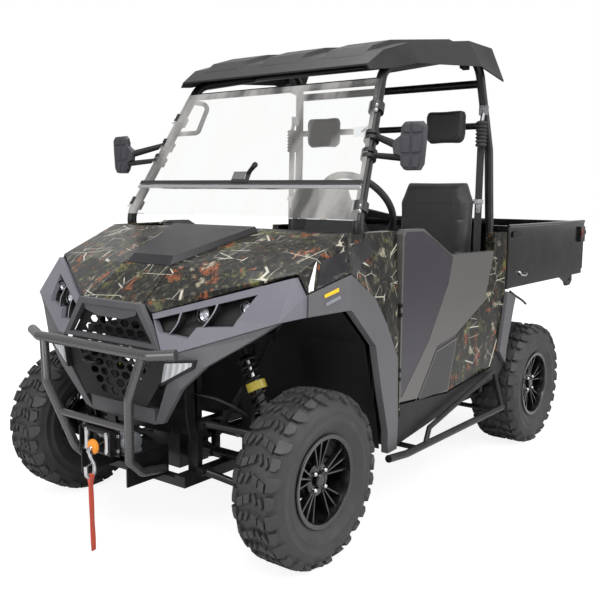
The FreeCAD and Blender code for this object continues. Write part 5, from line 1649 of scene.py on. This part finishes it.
def bed_edge():
    """Rolled rim and corner post on the outside of a bed wall, with the hinge bracket below it."""
    shape = Shape().swept([mm(-1560, 679, 1160), mm(-462, 679, 1160)], 0.0085, 14)
    shape.prism(front_view([(675, 1158), (682, 1158), (682, 850), (675, 850)], -468), (0.012, 0, 0))
    bracket = [(-1240, 862), (-1465, 862), (-1470, 812), (-1440, 788), (-1385, 786), (-1362, 812)]
    shape.prism(side_view(bracket, 640), (0, 0.016, 0))
    for x, z in ((-1430, 820), (-1300, 850)):
        hex_bolt(shape, mm(x, 656, z), Y_AXIS, 0.007, 0.006)
    return shape


def bed_fittings():
    """Tie-down cleat, lever rod and pivot boss on the bed's side."""
    cleat = [(-503, 1106), (-503, 1128), (-514, 1132), (-606, 1132), (-618, 1126), (-618, 1106), (-606, 1102),
             (-514, 1102)]
    shape = Shape().prism(side_view(cleat, 682), (0, 0.008, 0))
    shape.swept([mm(-547, 664, 830), mm(-600, 668, 806), mm(-700, 668, 770), mm(-750, 668, 746)], 0.006, 10)
    return shape.bar(mm(-1586, 668, 1093), mm(-1586, 684, 1093), 0.014, 20)


def bed_hook():
    """Bright bar hook on the bed's side."""
    path = [mm(-616, 676, 926), mm(-618, 683, 924), mm(-640, 684, 908), mm(-690, 684, 902), mm(-712, 683, 908),
            mm(-718, 676, 912)]
    return Shape().swept(path, 0.005, 10)


def lamp_lens():
    """Dark red lens on the front edge of the bed's lamp."""
    outline = [(-1518, 1066), (-1518, 1124), (-1496, 1124), (-1496, 1066)]
    return Shape().prism(side_view(outline, 690), (0, 0.004, 0), 0.002)


class UTV_OT_cargo_bed(bpy.types.Operator):
    """Builds the bed's rims, brackets, fittings and lamp lenses"""
    bl_idname = "utv.cargo_bed"
    bl_label = "Cargo bed"

    def execute(self, context):
        both_sides("bed_edge", bed_edge(), gloss_black(), "cargo_bed", "cargo_bed")
        both_sides("bed_fittings", bed_fittings(), powder_black(), "cargo_bed", "cargo_bed", bevel=0.001)
        both_sides("bed_hook", bed_hook(), bright_steel(), "cargo_bed", "cargo_bed")
        both_sides("lamp_lens", lamp_lens(), red_lens(), "cargo_bed", "tail_lamps", bevel=0.002)
        return {"FINISHED"}


# Seats and belts

BELT_X, BELT_Y = -0.336, 0.576


def bellows():
    """Ribbed boot over the belt's reel."""
    profile = [(0.0001, 0.0)]
    for rib in range(7):
        foot = 0.002 + rib * 0.0172
        profile += [(0.021, foot), (0.0275, foot + 0.006), (0.0275, foot + 0.010), (0.021, foot + 0.0165)]
    profile += [(0.016, 0.124), (0.0001, 0.124)]
    return Shape().turned(profile, (BELT_X, BELT_Y, 1.540), Z_AXIS, 28)


def belt_bracket():
    """Bracket on the cage, with its link and bolt."""
    shape = Shape().block((-0.382, BELT_Y - 0.022, 1.692), (-0.346, BELT_Y + 0.012, 1.738))
    shape.bar((-0.350, BELT_Y, 1.700), (BELT_X, BELT_Y, 1.662), 0.010, 14)
    hex_bolt(shape, Vector((-0.346, BELT_Y - 0.005, 1.722)), X_AXIS, 0.007, 0.006)
    return shape


def belt_web():
    """Webbing from the boot to the seat base, with a slight bow."""
    section = ((0.0008, 0.0188), (0.0008, -0.0188), (-0.0008, -0.0188), (-0.0008, 0.0188))
    rings = []
    for step in range(25):
        share = step / 24
        z = 1.541 + (0.7226 - 1.541) * share
        x = BELT_X + 0.006 * math.sin(math.pi * share)
        rings.append([(x + shift_x, BELT_Y + shift_y, z) for shift_x, shift_y in section])
    return Shape().rings(rings)


def belt_tongue():
    """Steel tongue and its slotted plate on the webbing."""
    plate = front_view([(-26, 1270), (26, 1270), (26, 1292), (-26, 1292)], 4)
    blade = front_view([(-11, 1226), (11, 1226), (14, 1271), (-14, 1271)], 4)
    belt = Vector((BELT_X, BELT_Y, 0))
    shape = Shape().prism([belt + point for point in plate], (0.004, 0, 0))
    return shape.prism([belt + point for point in blade], (0.003, 0, 0))


def made_finer(made):
    """Smooths a pad's mesh by one subdivision."""
    finer = made.modifiers.new("Finer", "SUBSURF")
    finer.levels = 1
    finer.render_levels = 1


def puffed(made, shape, swell, voxel):
    """Inflates a pad like a stuffed cover, by no more than a swell and 4 mm past its shape's corners."""
    corners = list(zip(*shape.points))
    low = [min(values) - 0.004 for values in corners]
    high = [max(values) + 0.004 for values in corners]
    scene = bpy.context.scene
    even = made.modifiers.new("Even mesh", "REMESH")
    even.mode = "VOXEL"
    even.voxel_size = voxel
    settle(made)
    before = [vert.co.copy() for vert in made.data.vertices]
    cloth = made.modifiers.new("Cloth", "CLOTH")
    cloth.settings.quality = 4
    cloth.settings.use_pressure = True
    cloth.settings.uniform_pressure_force = 4.0
    cloth.settings.effector_weights.gravity = 0.0
    for step in range(1, 21):
        scene.frame_set(step)
    settle(made)
    scene.frame_set(1)
    for vert, start in zip(made.data.vertices, before):
        moved = vert.co - start
        if moved.length > swell:
            vert.co = start + moved * (swell / moved.length)
        vert.co = Vector([min(max(value, least), most) for value, least, most in zip(vert.co, low, high)])
    made_finer(made)


def settle(made):
    """Turns what the modifiers make of a piece into its own mesh."""
    graph = bpy.context.evaluated_depsgraph_get()
    settled = bpy.data.meshes.new_from_object(made.evaluated_get(graph))
    made.modifiers.clear()
    made.data = settled
    for part in settled.polygons:
        part.use_smooth = True


def crowned(outline, low_x, high_x, sink):
    """A pad between two X places: its outline, drawn in at both faces."""
    middle_y, middle_z = middle_of(outline)
    third = (high_x - low_x) * 0.3
    rings = []
    for x, size in ((low_x, 1 - sink), (low_x + third, 1.0), (high_x - third, 1.0), (high_x, 1 - sink)):
        rings.append([mm(x, middle_y + (y - middle_y) * size, middle_z + (z - middle_z) * size)
                      for y, z in outline])
    return Shape().rings(rings)


def leaned(shape, low_z, lean):
    """The same shape, leaned back by a share of its height."""
    points = [Vector((point.x - max(0.0, point.z - low_z) * lean, point.y, point.z)) for point in shape.points]
    return Shape(points, shape.faces)


def surface_line(faces, starts, direction, sink):
    """Points where straight looks along a direction meet a pad, sunk a little."""
    found = []
    for start in starts:
        hit = faces.ray_cast(start, direction)[0]
        if hit is not None:
            found.append(hit + direction * sink)
    return found


def row(low, high, place):
    """Points 15 mm apart, from whole millimetres."""
    return [place(value / 1000) for value in range(low, high, 15)]


def headrest_ring():
    """Points before the headrest, round its sewn panel."""
    starts = []
    corners = [(-62, 1590), (62, 1590), (74, 1606), (74, 1690), (62, 1700), (-62, 1700), (-74, 1690),
               (-74, 1606), (-62, 1590)]
    for (y0, z0), (y1, z1) in zip(corners, corners[1:]):
        for part in range(5):
            y, z = y0 + (y1 - y0) * part / 5, z0 + (z1 - z0) * part / 5
            starts.append(Vector((0.0, HEADREST_Y + y / 1000, z / 1000)))
    return starts


def welts(pad, kind):
    """Welts along a pad's seams."""
    whole = bmesh.new()
    whole.from_object(pad, bpy.context.evaluated_depsgraph_get())
    faces = BVHTree.FromBMesh(whole)
    direction = Vector((0, 0, -1)) if kind == "cushion" else Vector((-1, 0, 0))
    if kind == "back":
        looks = [row(770, 1345, lambda z: Vector((0.0, y, z))) for y in (SEAT_Y - 0.105, SEAT_Y + 0.105)]
        looks += [row(-105, 106, lambda y: Vector((0.0, SEAT_Y + y, z))) for z in (1.020, 1.270)]
    elif kind == "cushion":
        looks = [row(-190, 190, lambda x: Vector((x, y, 1.2))) for y in (SEAT_Y - 0.115, SEAT_Y + 0.115)]
        looks.append(row(-115, 116, lambda y: Vector((0.080, SEAT_Y + y, 1.2))))
    else:
        looks = [headrest_ring()]
    shape = Shape()
    for starts in looks:
        line = surface_line(faces, starts, direction, 0.0006)
        if len(line) > 2:
            shape.swept(line, bpy.context.scene.utv_pieces.welt_radius, 8)
    return shape


def mirror_image(left):
    """The right side's copy of a pad or of its welts."""
    mesh = left.data.copy()
    mesh.transform(Matrix.Diagonal((1, -1, 1, 1)))
    mesh.flip_normals()
    right = bpy.data.objects.new(left.name.replace("_left", "_right"), mesh)
    bpy.context.scene.collection.objects.link(right)
    if any(source.type == "SUBSURF" for source in left.modifiers):
        made_finer(right)
    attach(right, "chassis")
    return right


# Left pads: middle Y in metres, reach in X and (y, z) outline in millimetres, share drawn in at both faces,
# lean per height, voxel size, and how far the filling may swell the cover
PADS = {
    "cushion": {
        "middle_y": SEAT_Y, "reach_x": (-236, 224), "sink": 0.05, "lean": 0.0, "voxel": 0.007, "swell": 0.012,
        "outline": ((-198, 730), (-202, 770), (-194, 824), (180, 824), (188, 770), (184, 730)),
    },
    "back": {
        "middle_y": SEAT_Y, "reach_x": (-340, -252), "sink": 0.06, "lean": 0.045, "voxel": 0.007,
        "swell": 0.012,
        "outline": ((-200, 730), (-206, 1000), (-206, 1290), (-166, 1380), (152, 1380), (190, 1290),
                    (190, 1000), (186, 730)),
    },
    "headrest": {
        "middle_y": HEADREST_Y, "reach_x": (-381, -340), "sink": 0.04, "lean": 0.0, "voxel": 0.005,
        "swell": 0.004,
        "outline": ((-80, 1563), (-100, 1580), (-106, 1606), (-106, 1696), (-98, 1716), (-84, 1722),
                    (84, 1722), (98, 1716), (106, 1696), (106, 1606), (100, 1580), (80, 1563)),
    },
}


class UTV_OT_seats(bpy.types.Operator):
    """Builds the padded seats with their welts, and the belts"""
    bl_idname = "utv.seats"
    bl_label = "Seats and belts"

    def execute(self, context):
        for name, pad_form in PADS.items():
            outline = [(pad_form["middle_y"] * 1000 + y, z) for y, z in pad_form["outline"]]
            shape = leaned(crowned(outline, *pad_form["reach_x"], pad_form["sink"]), 0.73, pad_form["lean"])
            pad = piece(f"seat_{name}_left", shape, seat_vinyl(), "chassis", "seats")
            puffed(pad, shape, pad_form["swell"], pad_form["voxel"])
            if name == "cushion":
                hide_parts("seats")
            seams = piece(f"seat_{name}_welts_left", welts(pad, name), seat_stitch(), "chassis", "seats")
            right = mirror_image(pad)
            mirror_image(seams)
        brackets = both_sides("belt_bracket", belt_bracket(), satin_steel(), "chassis", "seat_belts",
                              bevel=0.001)
        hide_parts("seat_belts")
        both_sides("belt_bellows", bellows(), bellows_rubber(), "chassis", "seat_belts")
        both_sides("belt_web", belt_web(), belt_webbing(), "chassis", "seat_belts")
        both_sides("belt_tongue", belt_tongue(), bright_steel(), "chassis", "seat_belts", bevel=0.0008)
        return {"FINISHED"}


# Floor, lamps and camera

class UTV_OT_stage(bpy.types.Operator):
    """Builds the pale floor, the soft lamps and the camera"""
    bl_idname = "utv.stage"
    bl_label = "Stage"

    def execute(self, context):
        settings = context.scene.utv_stage
        floor = Shape().add([(-30, -30, -0.001), (30, -30, -0.001), (30, 30, -0.001), (-30, 30, -0.001)],
                            [(0, 1, 2, 3)])
        mesh = bpy.data.meshes.new("studio_floor")
        mesh.from_pydata(floor.points, [], floor.faces)
        made = bpy.data.objects.new("studio_floor", mesh)
        context.scene.collection.objects.link(made)
        mesh.materials.append(pale_floor())
        white_world(context.scene)
        lamps = (
            ("key", (3.5, 3.0, 5.0), (0.3, 0.2, 0.8), 4.0, settings.key_power),
            ("top", (0.0, 0.0, 6.0), (0.0, 0.0, 0.5), 5.0, settings.top_power),
            ("side", (-1.5, 5.5, 2.6), (-0.3, 0.3, 0.8), 3.5, settings.side_power),
            ("nose", (6.0, -0.5, 2.4), (1.0, 0.0, 0.7), 3.0, settings.nose_power),
        )
        for name, place, target, size, power in lamps:
            soft_lamp(context.scene, name, Vector(place), Vector(target), size, power)
        studio_camera(context.scene)
        context.scene.view_settings.view_transform = "Standard"
        return {"FINISHED"}


def soft_lamp(scene, name, place, target, size, power):
    """A square area lamp that faces a target."""
    data = bpy.data.lights.new(name, "AREA")
    data.size = size
    data.energy = power
    lamp = bpy.data.objects.new(name, data)
    lamp.location = place
    lamp.rotation_euler = (target - place).to_track_quat("-Z", "Y").to_euler()
    scene.collection.objects.link(lamp)


def studio_camera(scene):
    """The camera at the photograph's place, angle and lens."""
    data = bpy.data.cameras.new("studio_camera")
    data.sensor_width = 36.0
    data.lens = 48.87
    made = bpy.data.objects.new("studio_camera", data)
    yaw, pitch, roll = math.radians(-142.48), math.radians(-7.61), math.radians(0.45)
    turn = Matrix.Rotation(yaw - math.pi / 2, 4, "Z") @ Matrix.Rotation(math.pi / 2 + pitch, 4, "X")
    made.matrix_world = Matrix.Translation((3.341, 2.312, 1.324)) @ turn @ Matrix.Rotation(roll, 4, "Z")
    scene.collection.objects.link(made)
    scene.camera = made


def looked_at(tree, path):
    """1 for what the camera sees, also through a pane."""
    return maths(tree, "MAXIMUM", path.outputs["Is Camera Ray"], path.outputs["Is Transmission Ray"])


def pale_floor():
    """White floor for the camera that still takes the object's shadow."""
    made, tree, shader = new_material("pale_floor", (0.82, 0.82, 0.82), 0.7)
    seen = looked_at(tree, tree.nodes.new("ShaderNodeLightPath"))
    away = add(tree, "ShaderNodeVectorMath", {"operation": "LENGTH"}, Vector=object_place(tree))
    strength = spread(tree, away.outputs["Value"], 2.2, 5.0, 1.55, 1.85)
    glow = add(tree, "ShaderNodeEmission", Color=(1, 1, 1), Strength=strength)
    mixed_shaders(tree, maths(tree, "MULTIPLY", seen, 0.56), shader, glow)
    return made


def white_world(scene):
    """World that is white to the camera and in reflections, and a soft fill for the rest."""
    world = bpy.data.worlds.new("studio_world")
    world.use_nodes = True
    tree = world.node_tree
    path = tree.nodes.new("ShaderNodeLightPath")
    reflected = maths(tree, "MULTIPLY_ADD", path.outputs["Is Glossy Ray"], 0.50, 0.17)
    feed(tree, tree.nodes["Background"], Color=(1, 1, 1),
         Strength=maths(tree, "MAXIMUM", looked_at(tree, path), reflected))
    scene.world = world


class UtvStageSettings(bpy.types.PropertyGroup):
    """Lamp strengths."""
    key_power: bpy.props.FloatProperty(
        name="Key lamp", description="Strength of the main lamp", default=260.0, min=0.0, subtype="POWER")
    top_power: bpy.props.FloatProperty(
        name="Top lamp", description="Strength of the lamp overhead", default=240.0, min=0.0, subtype="POWER")
    side_power: bpy.props.FloatProperty(
        name="Side lamp", description="Strength of the lamp at the left side", default=120.0, min=0.0,
        subtype="POWER")
    nose_power: bpy.props.FloatProperty(
        name="Nose lamp", description="Strength of the lamp ahead", default=90.0, min=0.0, subtype="POWER")


class UtvPieceSettings(bpy.types.PropertyGroup):
    """Sizes and colours of pieces."""
    leaf_size: bpy.props.FloatProperty(
        name="Leaf size", description="Size of the camouflage's leaves and twigs", default=1.0, min=0.2, max=5.0)
    welt_radius: bpy.props.FloatProperty(
        name="Welt radius", description="Radius of the seat welts", default=0.0024, min=0.0005, max=0.006,
        unit="LENGTH")
    strap_colour: bpy.props.FloatVectorProperty(
        name="Strap colour", description="Colour of the pull strap", default=(0.75, 0.075, 0.03), size=3,
        min=0.0, max=1.0, subtype="COLOR")
    stopper_colour: bpy.props.FloatVectorProperty(
        name="Stopper colour", description="Colour of the rope stopper", default=(0.75, 0.26, 0.02), size=3,
        min=0.0, max=1.0, subtype="COLOR")


class UTV_PT_panel(bpy.types.Panel):
    """Lists the vehicle's builders"""
    bl_idname = "UTV_PT_panel"
    bl_label = "Utility vehicle"
    bl_space_type = "VIEW_3D"
    bl_region_type = "UI"
    bl_category = "Utility vehicle"

    def draw(self, context):
        for operator in OPERATORS:
            self.layout.operator(operator.bl_idname)
        for name in UtvStageSettings.__annotations__:
            self.layout.prop(context.scene.utv_stage, name)
        for name in UtvPieceSettings.__annotations__:
            self.layout.prop(context.scene.utv_pieces, name)


OPERATORS = (UTV_OT_winch, UTV_OT_body_panels, UTV_OT_front_end, UTV_OT_sides, UTV_OT_cab_fittings,
             UTV_OT_seats, UTV_OT_shocks, UTV_OT_cargo_bed, UTV_OT_tyres, UTV_OT_wheels, UTV_OT_stage)


def register():
    """Registers the settings, the builders and the panel."""
    bpy.utils.register_class(UtvStageSettings)
    bpy.utils.register_class(UtvPieceSettings)
    bpy.types.Scene.utv_stage = bpy.props.PointerProperty(type=UtvStageSettings)
    bpy.types.Scene.utv_pieces = bpy.props.PointerProperty(type=UtvPieceSettings)
    for operator in OPERATORS:
        bpy.utils.register_class(operator)
    bpy.utils.register_class(UTV_PT_panel)


def unregister():
    """Removes what register added."""
    bpy.utils.unregister_class(UTV_PT_panel)
    for operator in reversed(OPERATORS):
        bpy.utils.unregister_class(operator)
    del bpy.types.Scene.utv_pieces
    del bpy.types.Scene.utv_stage
    bpy.utils.unregister_class(UtvPieceSettings)
    bpy.utils.unregister_class(UtvStageSettings)


def main():
    """Builds every piece."""
    register()
    bpy.ops.utv.stage()
    bpy.ops.utv.winch()
    bpy.ops.utv.body_panels()
    bpy.ops.utv.front_end()
    bpy.ops.utv.sides()
    bpy.ops.utv.cab_fittings()
    bpy.ops.utv.seats()
    bpy.ops.utv.shocks()
    bpy.ops.utv.cargo_bed()
    bpy.ops.utv.tyres()
    bpy.ops.utv.wheels()


if __name__ == "__main__":
    main()
